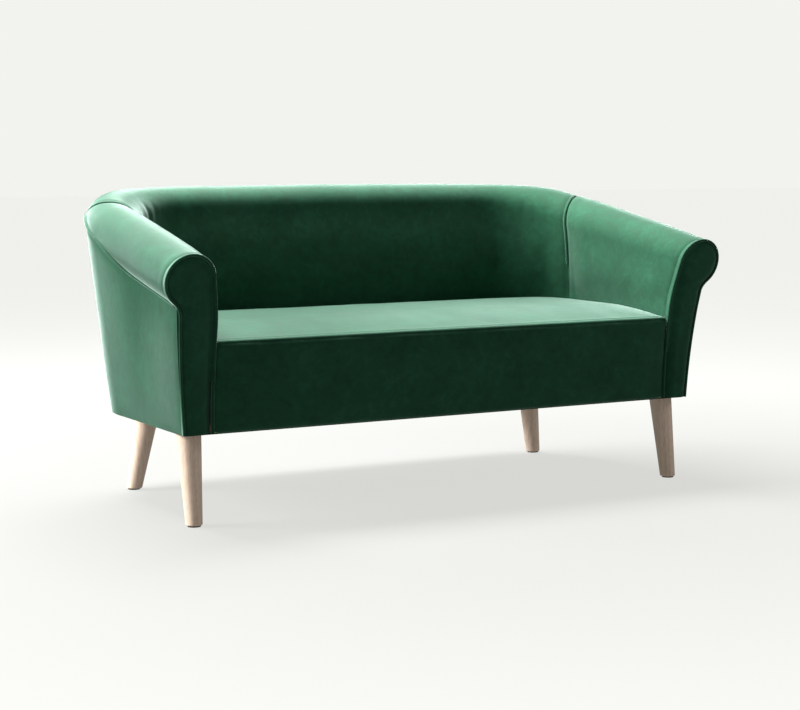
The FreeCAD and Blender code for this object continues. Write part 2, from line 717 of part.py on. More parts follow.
def add_legs(nodes):
    plates, bolts, screws, glides = [], [], [], []
    hole_inset, screw_radius, screw_length = 7.0, 1.9, 20.0
    plate_half = 31.0
    leg_bolt, frame_bolt = 35.0, 28.0
    cutters = []
    for name, top, foot in leg_places():
        way = (top - foot).normalize()
        start = foot - way * 12
        length = (top - foot).Length + 24
        slope = (leg_top_radius - leg_foot_radius) / (top - foot).Length
        cone = Part.makeCone(leg_foot_radius - 12 * slope, leg_top_radius + 12 * slope, length, start, way)
        leg = cone.common(box(-half_width, half_width, -half_depth, half_depth, glide, leg_height))
        rim = [edge for edge in leg.Edges if edge.BoundBox.ZMax < glide + 0.01]
        leg = leg.makeFillet(leg_foot_round, rim)
        bolt = Part.makeCylinder(bolt_radius, leg_bolt + frame_bolt, top - way * leg_bolt, way)
        nodes[name] = leg.cut(bolt)
        bolts.append(bolt)
        cutters.append(bolt)
        steel = box(top.x - plate_half, top.x + plate_half, top.y - plate_half, top.y + plate_half,
                    leg_height, leg_height + plate)
        steel = steel.makeFillet(6, [e for e in steel.Edges if abs(e.BoundBox.ZLength - plate) < 0.01])
        steel = steel.cut(bolt)
        for a in (-1, 1):
            for b in (-1, 1):
                spot = Vector(top.x + a * (plate_half - hole_inset), top.y + b * (plate_half - hole_inset),
                              leg_height)
                shank = Part.makeCylinder(screw_radius, screw_length, spot, Vector(0, 0, 1))
                head = Part.makeCone(2 * screw_radius, screw_radius, plate * 0.6, spot, Vector(0, 0, 1))
                screw = shank.fuse(head).removeSplitter()
                screws.append(screw)
                cutters.append(shank)
                steel = steel.cut(screw)
        plates.append(steel)
        glide_radius = leg_foot_radius - leg_foot_round - 1
        glides.append(Part.makeCylinder(glide_radius, glide, Vector(foot.x, foot.y, 0)))
    drilled = ("arm_base_rail", "side_seat_rail", "arm_front_board", "rear_leg_blocks", "front_corner_blocks",
               "rear_seat_rail", "front_seat_rail")
    for name in drilled:
        for key in [key for key in nodes if key.startswith(name)]:
            kept = []
            for solid in nodes[key].Solids:
                near = [c for c in cutters if c.BoundBox.intersect(solid.BoundBox)]
                kept.append(solid.cut(near).Solids[0] if near else solid)
            nodes[key] = kept[0] if len(kept) == 1 else Part.makeCompound(kept)
    nodes["leg_plates"] = Part.makeCompound(plates)
    nodes["leg_bolts"] = Part.makeCompound(bolts)
    nodes["plate_screws"] = Part.makeCompound(screws)
    nodes["leg_glides"] = Part.makeCompound(glides)
    sheet = ring(wall_inset, leg_height + plate - 1.0, leg_height + plate)
    sheet = sheet.common(front_slab(facing_start, overall_depth, True)).Solids[0]
    margin = 1.0
    for steel in plates:
        low, high = steel.BoundBox.getPoint(0), steel.BoundBox.getPoint(6)
        rim = Vector(margin, margin, 0)
        low, high = low - rim, high + rim
        sheet = sheet.cut(box(low.x, high.x, low.y, high.y, 0, back_height))
    nodes["dust_cover"] = sheet.Solids[0]


def run():
    nodes = {}
    add_soft_parts(nodes)
    add_seat(nodes)
    add_base_frame(nodes)
    add_shell_frame(nodes)
    add_shelves(nodes)
    add_springs(nodes)
    add_webbing(nodes)
    add_legs(nodes)
    widest = Part.makeCompound([nodes["roll_piping"], nodes["arm_facing_piping_left"]])
    reach = widest.optimalBoundingBox(False, False)
    middle = Vector(0, -(reach.YMin + reach.YMax) / 2, 0)
    os.makedirs("parts", exist_ok=True)
    for name, shape in nodes.items():
        shape.translate(middle)
        shape.exportStep(f"parts/{name}.step")
        print(name, len(shape.Solids), "solids", round(shape.Volume / 1000, 1), "cm3")
    print(len(nodes), "nodes")


run()
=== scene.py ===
import bmesh
import bpy
import math
import numpy as np
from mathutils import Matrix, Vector


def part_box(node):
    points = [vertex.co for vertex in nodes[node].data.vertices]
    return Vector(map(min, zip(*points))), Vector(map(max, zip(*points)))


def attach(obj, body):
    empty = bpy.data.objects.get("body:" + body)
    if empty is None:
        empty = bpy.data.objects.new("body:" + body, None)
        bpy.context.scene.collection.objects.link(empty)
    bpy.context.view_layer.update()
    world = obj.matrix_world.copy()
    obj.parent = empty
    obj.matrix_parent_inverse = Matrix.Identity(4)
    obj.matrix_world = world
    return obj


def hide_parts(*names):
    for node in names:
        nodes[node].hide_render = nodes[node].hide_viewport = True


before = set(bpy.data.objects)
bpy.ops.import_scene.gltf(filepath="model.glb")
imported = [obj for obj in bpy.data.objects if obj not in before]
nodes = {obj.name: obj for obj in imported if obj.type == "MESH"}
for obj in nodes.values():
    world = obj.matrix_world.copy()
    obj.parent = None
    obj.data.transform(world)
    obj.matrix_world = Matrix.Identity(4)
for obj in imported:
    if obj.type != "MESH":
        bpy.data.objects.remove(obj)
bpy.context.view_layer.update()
print("stage: frame loaded,", len(nodes), "nodes")

# the tub shell: sizes in metres; along the shell 0 is an arm front and 1 the middle of the back
shell = {
    "halfWidth": 0.765,
    "halfDepth": 0.405,
    "backHeight": 0.753,
    "armHeight": 0.620,
    "legHeight": 0.210,
    "seatHeight": 0.420,
    "seatCrown": 0.020,
    "frontLean": 0.065,        # the front leans forwards by this at its top
    "scrollRadius": 0.061,
    "backRollRadius": 0.070,
    "armWidthFoot": 0.075,
    "scrollOverhang": 0.060,
    "armToeIn": 0.018,
    "insideSplay": 0.010,
    "cornerX": 0.325,
    "cornerY": 0.348,
    "seatToBack": 0.208,
    "footToBack": 0.088,
    "pipingRadius": 0.0035,
    "tuckHeight": 0.330,       # lower edge of the inside pads
    "railToCover": 0.0053,     # from the back base rail's face to the outside of the cover
    "pipingUnderArm": 0.115,   # the piping runs this far under the crest
    "pipingUnderBack": 0.056,
    "seatBend": 0.030,         # the inside eases over this into its slope above the seat
    "armEnd": 0.4,
    "cornerEnd": 0.7,
}
shell["centreX"] = shell["halfWidth"] - shell["cornerX"]
shell["centreY"] = shell["halfDepth"] - shell["cornerY"]
shell["footX"] = shell["halfWidth"] - shell["scrollOverhang"]
shell["insideX"] = shell["footX"] - shell["armWidthFoot"]
shell["facingStart"] = 2 * shell["pipingRadius"] + 0.001
shell["moveY"] = (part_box("back_base_rail")[1].y
                  - (shell["halfDepth"] - shell["footToBack"] - shell["railToCover"]))


def along(u, table):
    # a smooth value at u through a few (place, value) pairs, with no overshoot
    places = np.array([pair[0] for pair in table], float)
    values = np.array([pair[1] for pair in table], float)
    rises = np.diff(values) / np.diff(places)
    slopes = [rises[0]]
    for before, after in zip(rises, rises[1:]):
        slopes.append(2 * before * after / (before + after) if before * after > 0 else 0.0)
    slopes = np.array(slopes + [rises[-1]])
    i = np.clip(np.searchsorted(places, u + 1e-9, side="right") - 1, 0, len(rises) - 1)
    span = places[i + 1] - places[i]
    t = (u - places[i]) / span
    return ((2 * t**3 - 3 * t**2 + 1) * values[i] + (t**3 - 2 * t**2 + t) * span * slopes[i]
            + (3 * t**2 - 2 * t**3) * values[i + 1] + (t**3 - t**2) * span * slopes[i + 1])


def rollRadius(u):
    small, big = shell["scrollRadius"], shell["backRollRadius"]
    return along(u, [(0, small), (0.4, big - 0.004), (0.7, big), (1, big)])


def crestHeight(u):
    low, high = shell["armHeight"], shell["backHeight"]
    rise = high - low
    return along(u, [(0, low), (0.4, low + 0.665 * rise), (0.55, low + 0.93 * rise),
                     (0.7, high - 0.003), (1, high)])


def pipingHeight(u):
    low, high = shell["armHeight"] - shell["pipingUnderArm"], shell["backHeight"] - shell["pipingUnderBack"]
    rise = high - low
    return along(u, [(0, low), (0.2, low + 0.22 * rise), (0.3, low + 0.42 * rise), (0.4, low + 0.68 * rise),
                     (0.49, high - 0.009), (0.6, high - 0.002), (1, high)])


def pipingAngle(u):
    # where the piping lies on the roll, as an angle from the level
    radius = rollRadius(u)
    return np.arcsin(np.clip((pipingHeight(u) - crestHeight(u) + radius) / radius, -0.97, 0.97))


def kinkHeight(u):
    # the inside stands straight up to here, and slopes out above it
    level = shell["seatHeight"] + shell["seatCrown"]
    return along(u, [(0, shell["seatHeight"] + 0.055), (0.4, level + 0.004), (1, level)])


def frontFace(z):
    # y of the curved front at a height
    t = (z - shell["legHeight"]) / (shell["armHeight"] - shell["legHeight"])
    return -shell["halfDepth"] + shell["frontLean"] * (1 - t * t)


# lines round the shell: half width at the arm front and at the arm end, and y at the back
rollMiddle = shell["halfWidth"] - shell["scrollRadius"]
rollRail = (rollMiddle, rollMiddle - shell["armToeIn"],
            shell["halfDepth"] - shell["pipingRadius"]
            - shell["backRollRadius"] * math.cos(float(pipingAngle(1.0))))
insideRail = (shell["insideX"], shell["insideX"] + shell["insideSplay"],
              shell["halfDepth"] - shell["seatToBack"])
footRail = (shell["footX"], shell["footX"] - 0.007, shell["halfDepth"] - shell["footToBack"])


def railPoint(rail, u):
    # x, y and the way outwards of a line round the shell
    front, end, back = rail
    centreX, centreY, armEnd, cornerEnd = (shell[k] for k in ("centreX", "centreY", "armEnd", "cornerEnd"))
    turn = np.clip((u - armEnd) / (cornerEnd - armEnd), 0, 1) * math.pi / 2
    wide, deep = end - centreX, back - centreY
    wayX, wayY = np.cos(turn) / wide, np.sin(turn) / deep
    length = np.hypot(wayX, wayY)
    x = np.where(u <= armEnd, front + (end - front) * u / armEnd,
                 np.where(u <= cornerEnd, centreX + wide * np.cos(turn), centreX * (1 - u) / (1 - cornerEnd)))
    return x, centreY + deep * np.sin(turn), wayX / length, wayY / length


def setPlace(x, y, z, u, mirrored):
    # an arm starts behind its front's piping, and past the middle everything is mirrored
    front = frontFace(z) + shell["facingStart"]
    armY = front + (shell["centreY"] - front) * u / shell["armEnd"]
    y = np.where(u <= shell["armEnd"], armY, y) + shell["moveY"]
    return np.stack([np.where(mirrored, -x, x), y, z], axis=-1)


def insidePoints(u, v):
    # v is 0 under the seat, 0.5 where the roll starts and 1 at the piping behind it
    u, v = np.broadcast_arrays(np.asarray(u, float), np.asarray(v, float))
    mirrored = u > 1
    u = np.where(mirrored, 2 - u, u)
    radius, low, crest = rollRadius(u), kinkHeight(u), crestHeight(u)
    baseX, baseY, _, _ = railPoint(insideRail, u)
    rollX, rollY, wayX, wayY = railPoint(rollRail, u)
    across = (rollX - baseX) * wayX + (rollY - baseY) * wayY
    up = crest - radius - low
    start = math.pi - (np.arctan2(across, up) - np.arcsin(radius / np.hypot(across, up)))
    angle = start + (pipingAngle(u) - start) * np.clip(v * 2 - 1, 0, 1)
    rollOut, rollUp = radius * np.cos(angle), crest - radius + radius * np.sin(angle)
    topOut, topUp = radius * np.cos(start), crest - radius + radius * np.sin(start)
    z = shell["tuckHeight"] + (topUp - shell["tuckHeight"]) * np.clip(v * 2, 0, 1)
    ease = shell["seatBend"]
    rise = np.where(z < low - ease, 0.0,
                    np.where(z > low + ease, z - low, (z - low + ease) ** 2 / (4 * ease)))
    share = rise / (topUp - low)
    onRoll = v >= 0.5
    x = np.where(onRoll, rollX + rollOut * wayX, baseX + (rollX + topOut * wayX - baseX) * share)
    y = np.where(onRoll, rollY + rollOut * wayY, baseY + (rollY + topOut * wayY - baseY) * share)
    return setPlace(x, y, np.where(onRoll, rollUp, z), u, mirrored)


def outsidePoints(u, v):
    # v is 0 at the piping and 1 at the foot
    u, v = np.broadcast_arrays(np.asarray(u, float), np.asarray(v, float))
    mirrored = u > 1
    u = np.where(mirrored, 2 - u, u)
    radius, angle = rollRadius(u), pipingAngle(u)
    rollX, rollY, wayX, wayY = railPoint(rollRail, u)
    footX, footY, _, _ = railPoint(footRail, u)
    x, y = rollX + radius * np.cos(angle) * wayX, rollY + radius * np.cos(angle) * wayY
    z = crestHeight(u) - radius + radius * np.sin(angle)
    z = z + (shell["legHeight"] - z) * v
    return setPlace(x + (footX - x) * v, y + (footY - y) * v, z, u, mirrored)


def outwards(points):
    # unit normals of a grid of points, by differences along its rows and columns
    normal = np.cross(np.gradient(points, axis=0), np.gradient(points, axis=1))
    return normal / np.maximum(np.linalg.norm(normal, axis=-1, keepdims=True), 1e-12)


def edgeDistances(points):
    # distance along the surface to the four edges of a grid: start, end, low, high
    stepU = np.linalg.norm(np.diff(points, axis=0), axis=-1)
    stepV = np.linalg.norm(np.diff(points, axis=1), axis=-1)
    fromStart = np.concatenate([np.zeros((1, points.shape[1])), np.cumsum(stepU, axis=0)])
    fromLow = np.concatenate([np.zeros((points.shape[0], 1)), np.cumsum(stepV, axis=1)], axis=1)
    return fromStart, fromStart[-1:] - fromStart, fromLow, fromLow[:, -1:] - fromLow


def smooth(x, low, high):
    t = np.clip((x - low) / (high - low), 0, 1)
    return t * t * (3 - 2 * t)


def waves(points, size, seed):
    # slow uneven swell of a cover, between about -1 and 1
    rng = np.random.default_rng(seed)
    total = np.zeros(points.shape[:-1])
    for _ in range(7):
        way = rng.normal(size=3)
        way *= 2 * math.pi / (size * rng.uniform(0.7, 1.5)) / np.linalg.norm(way)
        total += np.sin(points @ way + rng.uniform(0, 2 * math.pi))
    return total / 4


def makePiece(name, points, faces, material, sharpAngle=50):
    mesh = bpy.data.meshes.new(name)
    mesh.from_pydata([tuple(p) for p in points], [], faces)
    mesh.validate()
    piece = bpy.data.objects.new(name, mesh)
    bpy.context.collection.objects.link(piece)
    mesh.materials.append(material)
    mesh.shade_smooth()
    mesh.set_sharp_from_angle(angle=math.radians(sharpAngle))
    return piece


def gridFaces(rows, columns, start=0, flip=False):
    faces = []
    for i in range(rows - 1):
        for j in range(columns - 1):
            a = start + i * columns + j
            quad = (a, a + columns, a + columns + 1, a + 1)
            faces.append(quad[::-1] if flip else quad)
    return faces


def closedPad(name, face, behind, material, sharpAngle=50):
    # a closed form between a face grid and a grid behind it; the faces point along outwards(face)
    rows, columns = face.shape[:2]
    count = rows * columns
    points = np.concatenate([face.reshape(-1, 3), behind.reshape(-1, 3)])
    faces = gridFaces(rows, columns) + gridFaces(rows, columns, count, True)
    rim = [i * columns for i in range(rows)] + [(rows - 1) * columns + j for j in range(1, columns)]
    rim += [i * columns + columns - 1 for i in range(rows - 2, -1, -1)]
    rim += [j for j in range(columns - 2, 0, -1)]
    for a, b in zip(rim, rim[1:] + rim[:1]):
        faces.append((b, a, a + count, b + count))
    return makePiece(name, points, faces, material, sharpAngle)


def settle(points, held, pressure, slack, cap, frames=20):
    # the cover of a pad as cloth: pinned at its seams, blown out by the foam, with a little slack;
    # gives how each point moves
    rows, columns = points.shape[:2]
    mesh = bpy.data.meshes.new("cover")
    mesh.from_pydata([tuple(p) for p in points.reshape(-1, 3)], [], gridFaces(rows, columns))
    cover = bpy.data.objects.new("cover", mesh)
    bpy.context.collection.objects.link(cover)
    group = cover.vertex_groups.new(name="held")
    for index, weight in enumerate(held.reshape(-1)):
        if weight > 0.001:
            group.add([index], float(min(weight, 1.0)), "REPLACE")
    cloth = cover.modifiers.new("cloth", "CLOTH")
    cloth.settings.vertex_group_mass = "held"
    for key, value in {"quality": 6, "mass": 0.3, "tension_stiffness": 12, "compression_stiffness": 12,
                       "shear_stiffness": 4, "bending_stiffness": 2.0, "use_pressure": True,
                       "uniform_pressure_force": pressure, "shrink_min": -slack}.items():
        setattr(cloth.settings, key, value)
    cloth.settings.effector_weights.gravity = 0
    cloth.collision_settings.use_collision = False
    cloth.point_cache.frame_start, cloth.point_cache.frame_end = 1, frames
    scene = bpy.context.scene
    for step in range(1, frames + 1):
        scene.frame_set(step)
    settled = cover.evaluated_get(bpy.context.evaluated_depsgraph_get()).to_mesh()
    flat = np.empty(len(settled.vertices) * 3)
    settled.vertices.foreach_get("co", flat)
    move = flat.reshape(points.shape) - points
    bpy.data.objects.remove(cover)
    scene.frame_set(1)
    # thick pile cloth takes no sharp folds, and eases off towards the cap
    for _ in range(5):
        move[1:-1] = (move[:-2] + 2 * move[1:-1] + move[2:]) / 4
        move[:, 1:-1] = (move[:, :-2] + 2 * move[:, 1:-1] + move[:, 2:]) / 4
    length = np.linalg.norm(move, axis=-1, keepdims=True)
    print("   cover settled, widest move", round(float(length.max()) * 1000, 1), "mm")
    return move * cap * np.tanh(length / cap) / np.maximum(length, 1e-9)


def spread(move, rows, columns):
    # moves of a coarse grid, carried over to a finer one by curves along its rows, then its columns
    for fine in (rows, columns):
        last = move.shape[0] - 1
        at = np.linspace(0, last, fine)
        i = np.clip(at.astype(int), 0, last - 1)
        t = (at - i)[:, None, None]
        before, a, b, after = move[np.maximum(i - 1, 0)], move[i], move[i + 1], move[np.minimum(i + 2, last)]
        move = 0.5 * (2 * a + (b - before) * t + (2 * before - 5 * a + 4 * b - after) * t**2
                      + (3 * a - before - 3 * b + after) * t**3)
        move = move.swapaxes(0, 1)
    return move


def tidyNormals(piece):
    # merges doubles and turns every face outwards
    work = bmesh.new()
    work.from_mesh(piece.data)
    bmesh.ops.remove_doubles(work, verts=work.verts, dist=1e-6)
    bmesh.ops.recalc_face_normals(work, faces=work.faces)
    work.to_mesh(piece.data)
    work.free()


def tube(name, path, wide, high, up, material, sides=12, flange=0.0):
    # a cord or a flat welt along a path; up is one way or one for each point,
    # and on that side a flange may run into the seam
    path = np.asarray(path, float)
    way = np.gradient(path, axis=0)
    way /= np.linalg.norm(way, axis=1, keepdims=True)
    up = np.broadcast_to(np.asarray(up, float), path.shape)
    side = np.cross(way, up)
    side /= np.linalg.norm(side, axis=1, keepdims=True)
    rise = np.cross(side, way)
    turn = np.linspace(0, 2 * math.pi, sides, endpoint=False)
    height = high * np.sin(turn) + flange * (np.sin(turn) > 0.8)
    ring = (path[:, None] + side[:, None] * (wide * np.cos(turn))[None, :, None]
            + rise[:, None] * height[None, :, None])
    count = len(path)
    faces = []
    for i in range(count - 1):
        for j in range(sides):
            a, b, k = i * sides, (i + 1) * sides, (j + 1) % sides
            faces.append((a + j, a + k, b + k, b + j))
    faces.append(tuple(range(sides - 1, -1, -1)))
    faces.append(tuple((count - 1) * sides + j for j in range(sides)))
    piece = makePiece(name, ring.reshape(-1, 3), faces, material)
    tidyNormals(piece)
    return piece


def finishPiece(piece, slotName, *replaced):
    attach(piece, "root")
    if replaced:
        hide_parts(*replaced)


def paint(hexCode):
    # an sRGB colour as the linear values that a shader takes
    parts = [int(hexCode[i:i + 2], 16) / 255 for i in (1, 3, 5)]
    return tuple(p / 12.92 if p <= 0.04045 else ((p + 0.055) / 1.055) ** 2.4 for p in parts) + (1.0,)


def grey(value):
    return (value, value, value, 1.0)


def addNode(tree, kind, inputs=None, ramp=None, **settings):
    # inputs are by name or number: a value, a node's output, or a node for its first output;
    # a kind without Node in its name is a shader's, and a ramp has places and colours
    node = tree.nodes.new(kind if "Node" in kind else "ShaderNode" + kind)
    for key, value in settings.items():
        setattr(node, key, value)
    for key, value in (inputs or {}).items():
        value = value.outputs[0] if isinstance(value, bpy.types.Node) else value
        if isinstance(value, bpy.types.NodeSocket):
            tree.links.new(value, node.inputs[key])
        else:
            node.inputs[key].default_value = value
    for index, (place, colour) in enumerate(ramp or ()):
        elements = node.color_ramp.elements
        element = elements[index] if index < 2 else elements.new(place)
        element.position = place
        element.color = paint(colour)
    return node


def newMaterial(name):
    material = bpy.data.materials.new(name)
    material.use_nodes = True
    material.node_tree.nodes.clear()
    return material, material.node_tree


def surface(name, pattern, *values, **named):
    # a material from a pattern on the piece's own coordinates, which gives the shader's inputs
    material, tree = newMaterial(name)
    where = addNode(tree, "TexCoord").outputs["Object"]
    shader = addNode(tree, "BsdfPrincipled", pattern(tree, where, *values, **named))
    addNode(tree, "OutputMaterial", {"Surface": shader})
    return material


velvetLook = {
    "deep": "#163D2A",         # where the pile is brushed one way; the step from here to pale is painted sheen
    "middle": "#1B4832",
    "pale": "#235840",         # where it is brushed the other way: painted sheen of the nap
    "sheen": "#D2E7E0",
    "sheenRoughness": 0.30,
    "roughness": 0.80,
    "nap": 0.022,              # size of the brushed patches
    "pile": 0.0011,            # size of the tufts of pile
}


def velvet(tree, where, look):
    # cut velvet: patches where the nap lies different ways, their paler and darker tone painted sheen, and a fine
    # pile over them
    patches = addNode(tree, "TexNoise", {"Vector": where, "Scale": 1 / look["nap"], "Detail": 5.0,
                                         "Roughness": 0.62, "Distortion": 0.5})
    clouds = addNode(tree, "TexNoise", {"Vector": where, "Scale": 0.22 / look["nap"], "Detail": 3.0,
                                        "Roughness": 0.5})
    pile = addNode(tree, "TexNoise", {"Vector": where, "Scale": 1 / look["pile"], "Detail": 2.0,
                                      "Roughness": 0.6})
    both = addNode(tree, "Math", {0: patches, 1: 0.55}, operation="MULTIPLY")
    both = addNode(tree, "Math", {0: clouds, 1: 0.35, 2: both}, operation="MULTIPLY_ADD")
    both = addNode(tree, "Math", {0: pile, 1: 0.10, 2: both}, operation="MULTIPLY_ADD")
    # the tone of the patches is painted sheen, because the shader's own sheen is the same all over
    colour = addNode(tree, "ValToRGB", {"Fac": both},
                     ramp=[(0.30, look["deep"]), (0.72, look["pale"]), (0.50, look["middle"])])
    rough = addNode(tree, "MapRange", {"Value": patches, "To Min": look["roughness"] - 0.1,
                                       "To Max": look["roughness"] + 0.1})
    nap = addNode(tree, "Bump", {"Height": patches, "Strength": 0.25, "Distance": 0.002})
    tufts = addNode(tree, "Bump", {"Height": pile, "Strength": 0.5, "Distance": 0.0004, "Normal": nap})
    return {"Base Color": colour, "Roughness": rough, "Normal": tufts, "Specular IOR Level": 0.12,
            "Sheen Weight": 1.0, "Sheen Roughness": look["sheenRoughness"],
            "Sheen Tint": paint(look["sheen"])}


def timber(tree, where, palest, middle, darkest, grainSize, stretch, ringShare, roughness):
    # long fibres along one axis, with flecks and slow bands of early and late wood
    long = addNode(tree, "Mapping", {"Vector": where, "Scale": stretch})
    fibres = addNode(tree, "TexNoise", {"Vector": long, "Scale": 1 / grainSize, "Detail": 6.0,
                                        "Roughness": 0.65})
    rings = addNode(tree, "TexWave", {"Vector": long, "Scale": 0.06 / grainSize, "Distortion": 5.0,
                                      "Detail": 3.0, "Detail Scale": 1.5}).outputs["Fac"]
    flecks = addNode(tree, "TexVoronoi", {"Vector": long, "Scale": 0.8 / grainSize})
    mixed = addNode(tree, "Math", {0: rings, 1: ringShare, 2: fibres}, operation="MULTIPLY_ADD")
    mixed = addNode(tree, "Math", {0: flecks, 1: -0.16, 2: mixed}, operation="MULTIPLY_ADD")
    colour = addNode(tree, "ValToRGB", {"Fac": mixed}, ramp=[(0.25, darkest), (0.85, palest), (0.52, middle)])
    rough = addNode(tree, "MapRange", {"Value": fibres, "To Min": roughness - 0.08,
                                       "To Max": roughness + 0.1})
    relief = addNode(tree, "Bump", {"Height": mixed, "Strength": 0.35, "Distance": 0.0003})
    return {"Base Color": colour, "Roughness": rough, "Normal": relief, "Specular IOR Level": 0.4}


def mottled(tree, where, dark, pale, size, roughness, metal=0.0, bump=0.0001):
    # thread, board, nylon, felt or metal, whose colour comes from two sizes of speckle
    fine = addNode(tree, "TexNoise", {"Vector": where, "Scale": 1 / size, "Detail": 4.0, "Roughness": 0.7})
    broad = addNode(tree, "TexNoise", {"Vector": where, "Scale": 1 / (size * 14), "Detail": 3.0})
    both = addNode(tree, "Math", {0: fine, 1: broad}, operation="ADD")
    colour = addNode(tree, "ValToRGB", {"Fac": both}, ramp=[(0.75, dark), (1.0, pale)])
    rough = addNode(tree, "MapRange", {"Value": both, "From Min": 0.7, "From Max": 1.3,
                                       "To Min": roughness - 0.1, "To Max": roughness + 0.1})
    relief = addNode(tree, "Bump", {"Height": fine, "Strength": 0.5, "Distance": bump})
    return {"Base Color": colour, "Roughness": rough, "Metallic": metal, "Normal": relief}


def woven(tree, where, dark, pale, pitch):
    # straps and lining: threads over and under each other, from crossed waves
    heights = [addNode(tree, "TexWave", {"Vector": where, "Scale": 0.16 / pitch, "Distortion": 0.6,
                                         "Detail Scale": 4.0, "Phase Offset": phase},
                       bands_direction=way).outputs["Fac"]
               for way, phase in (("Z", 0.0), ("X", 1.5), ("Y", 3.0))]
    cross = addNode(tree, "Math", {0: heights[1], 1: heights[2]}, operation="MAXIMUM")
    cross = addNode(tree, "Math", {0: heights[0], 1: cross}, operation="MULTIPLY")
    speck = addNode(tree, "TexNoise", {"Vector": where, "Scale": 0.4 / pitch, "Detail": 3.0})
    mixed = addNode(tree, "Math", {0: speck, 1: 0.6, 2: cross}, operation="MULTIPLY_ADD")
    colour = addNode(tree, "ValToRGB", {"Fac": mixed}, ramp=[(0.2, dark), (0.95, pale)])
    relief = addNode(tree, "Bump", {"Height": cross, "Strength": 0.6, "Distance": pitch * 0.2})
    return {"Base Color": colour, "Roughness": 0.85, "Normal": relief}


# velvet glows pale at its edges, timber and board are dull, steel is bright or blued
velvetCloth = surface("green_velvet", velvet, velvetLook)
thread = surface("green_sewing_thread", mottled, "#1F4A36", "#4E8A6A", 0.0006, 0.7)
beech = surface("oiled_beech", timber, "#FBE7D5", "#F1D8C2", "#DCBCA2", 0.0022, (1, 1, 0.09), 0.12, 0.45)
pine = surface("sawn_pine", timber, "#E3CDA0", "#D0B07C", "#A98552", 0.0035, (0.12, 0.12, 0.4), 0.35, 0.7)
plywood = surface("birch_plywood", timber, "#DDC8A2", "#CDB287", "#B09063", 0.003, (0.3, 0.3, 0.12), 0.2,
                  0.65)
hardboard = surface("brown_hardboard", mottled, "#5A4030", "#7A5A42", 0.0012, 0.75)
zincSteel = surface("zinc_plated_steel", mottled, "#9A9FA3", "#C6CACC", 0.004, 0.35, 1.0, 0.00003)
springSteel = surface("blued_spring_steel", mottled, "#3A3D42", "#6C7076", 0.003, 0.4, 1.0, 0.00003)
nylon = surface("black_nylon_glide", mottled, "#161616", "#2A2A29", 0.0008, 0.5)
felt = surface("grey_needled_felt", mottled, "#7C7A75", "#A8A59D", 0.0015, 0.95, bump=0.0006)
lining = surface("black_lining_cloth", woven, "#0D0D0E", "#232325", 0.0009)
webbingCloth = surface("jute_webbing", woven, "#6E5A3C", "#B59B70", 0.0022)
print("stage: materials made")

# the parts that keep the frame's own shape
carriedOver = {
    beech: ["front_right_leg", "front_left_leg", "rear_right_leg", "rear_left_leg"],
    pine: ["front_seat_rail", "rear_seat_rail", "side_seat_rail_right", "side_seat_rail_left", "back_base_rail",
           "back_spacers", "seat_bearers", "rear_leg_blocks", "front_corner_blocks", "rear_arm_posts", "back_posts",
           "arm_top_rail_right", "arm_top_rail_left", "corner_top_rail_right", "corner_top_rail_left",
           "back_top_rail", "arm_base_rail_right", "arm_base_rail_left", "corner_base_rail_right",
           "corner_base_rail_left"],
    plywood: ["arm_front_board_right", "arm_front_board_left", "arm_shelves", "back_shelf"],
    hardboard: ["outside_arm_panel_right", "outside_arm_panel_left", "outside_back_panel"],
    zincSteel: ["leg_plates", "leg_bolts", "plate_screws", "spring_clips"],
    springSteel: ["seat_springs"],
    nylon: ["leg_glides"],
    felt: ["spring_felt"],
    lining: ["dust_cover"],
    webbingCloth: ["inside_webbing"],
}
for material, names in carriedOver.items():
    for name in names:
        mesh = nodes[name].data
        mesh.materials.clear()
        mesh.materials.append(material)


# inside arms and inside back: a cover over foam, drawn in at its seams
insidePads = {
    "seam": [(0, 0.462), (0.5, 0.430), (0.75, 0.446), (1, 0.500)],   # height share, place along
    "seamGap": 0.0012,         # from the seam to the back pad
    "armStart": -0.0035,       # the arm's cover starts close behind the piping of the arm front
    "topEdge": 0.996,
    "height": 0.60,            # lengths over the surface, for cells of about one size
    "armLength": 0.56,
    "backLength": 1.62,
    "cell": 0.0062,
    "coarseCell": 0.015,
    "thickness": 0.0267,
    "edgeThickness": 0.008,    # at the roll's far edge, where the cover is stapled
    "armCrown": 0.0035,
    "backCrown": 0.005,
    "crownReach": 0.09,
    "seamDrop": 0.0042,        # how deep the cover is drawn in at a seam
    "seamReach": 0.011,
    "pipingDrop": 0.0012,      # and at the piping under the roll
    "swell": 0.0006,
    "pressure": 0.7,
    "slack": 0.003,
    "cap": 0.007,              # the furthest that the cloth may move
    "creases": [               # on the back: middle, lean, low end, high end, width, depth
        (1.437, 0.16, 0.36, 0.64, 0.012, 0.0010),
        (1.402, 0.05, 0.42, 0.62, 0.011, 0.0006),
        (1.500, 0.12, 0.44, 0.60, 0.009, 0.0006),
        (0.553, -0.12, 0.40, 0.62, 0.013, 0.0005),
    ],
}


def seamPlace(v):
    return along(v, insidePads["seam"])


def insideGrid(kind, cell):
    # (u, v) grids of an arm pad or the back pad with cells of about one size
    look = insidePads
    v = np.linspace(0, look["topEdge"], int(round(look["height"] / cell)) + 1)[None, :]
    if kind == "arm":
        first = look["armStart"]
        span = seamPlace(v) - first
        rows = int(round(look["armLength"] / cell)) + 1
    else:
        first = seamPlace(v) + look["seamGap"]
        span = 2 - 2 * first
        rows = int(round(look["backLength"] / cell)) // 2 * 2 + 1
    s = np.linspace(0, 1, rows)[:, None]
    return first + s * span, v + 0 * s


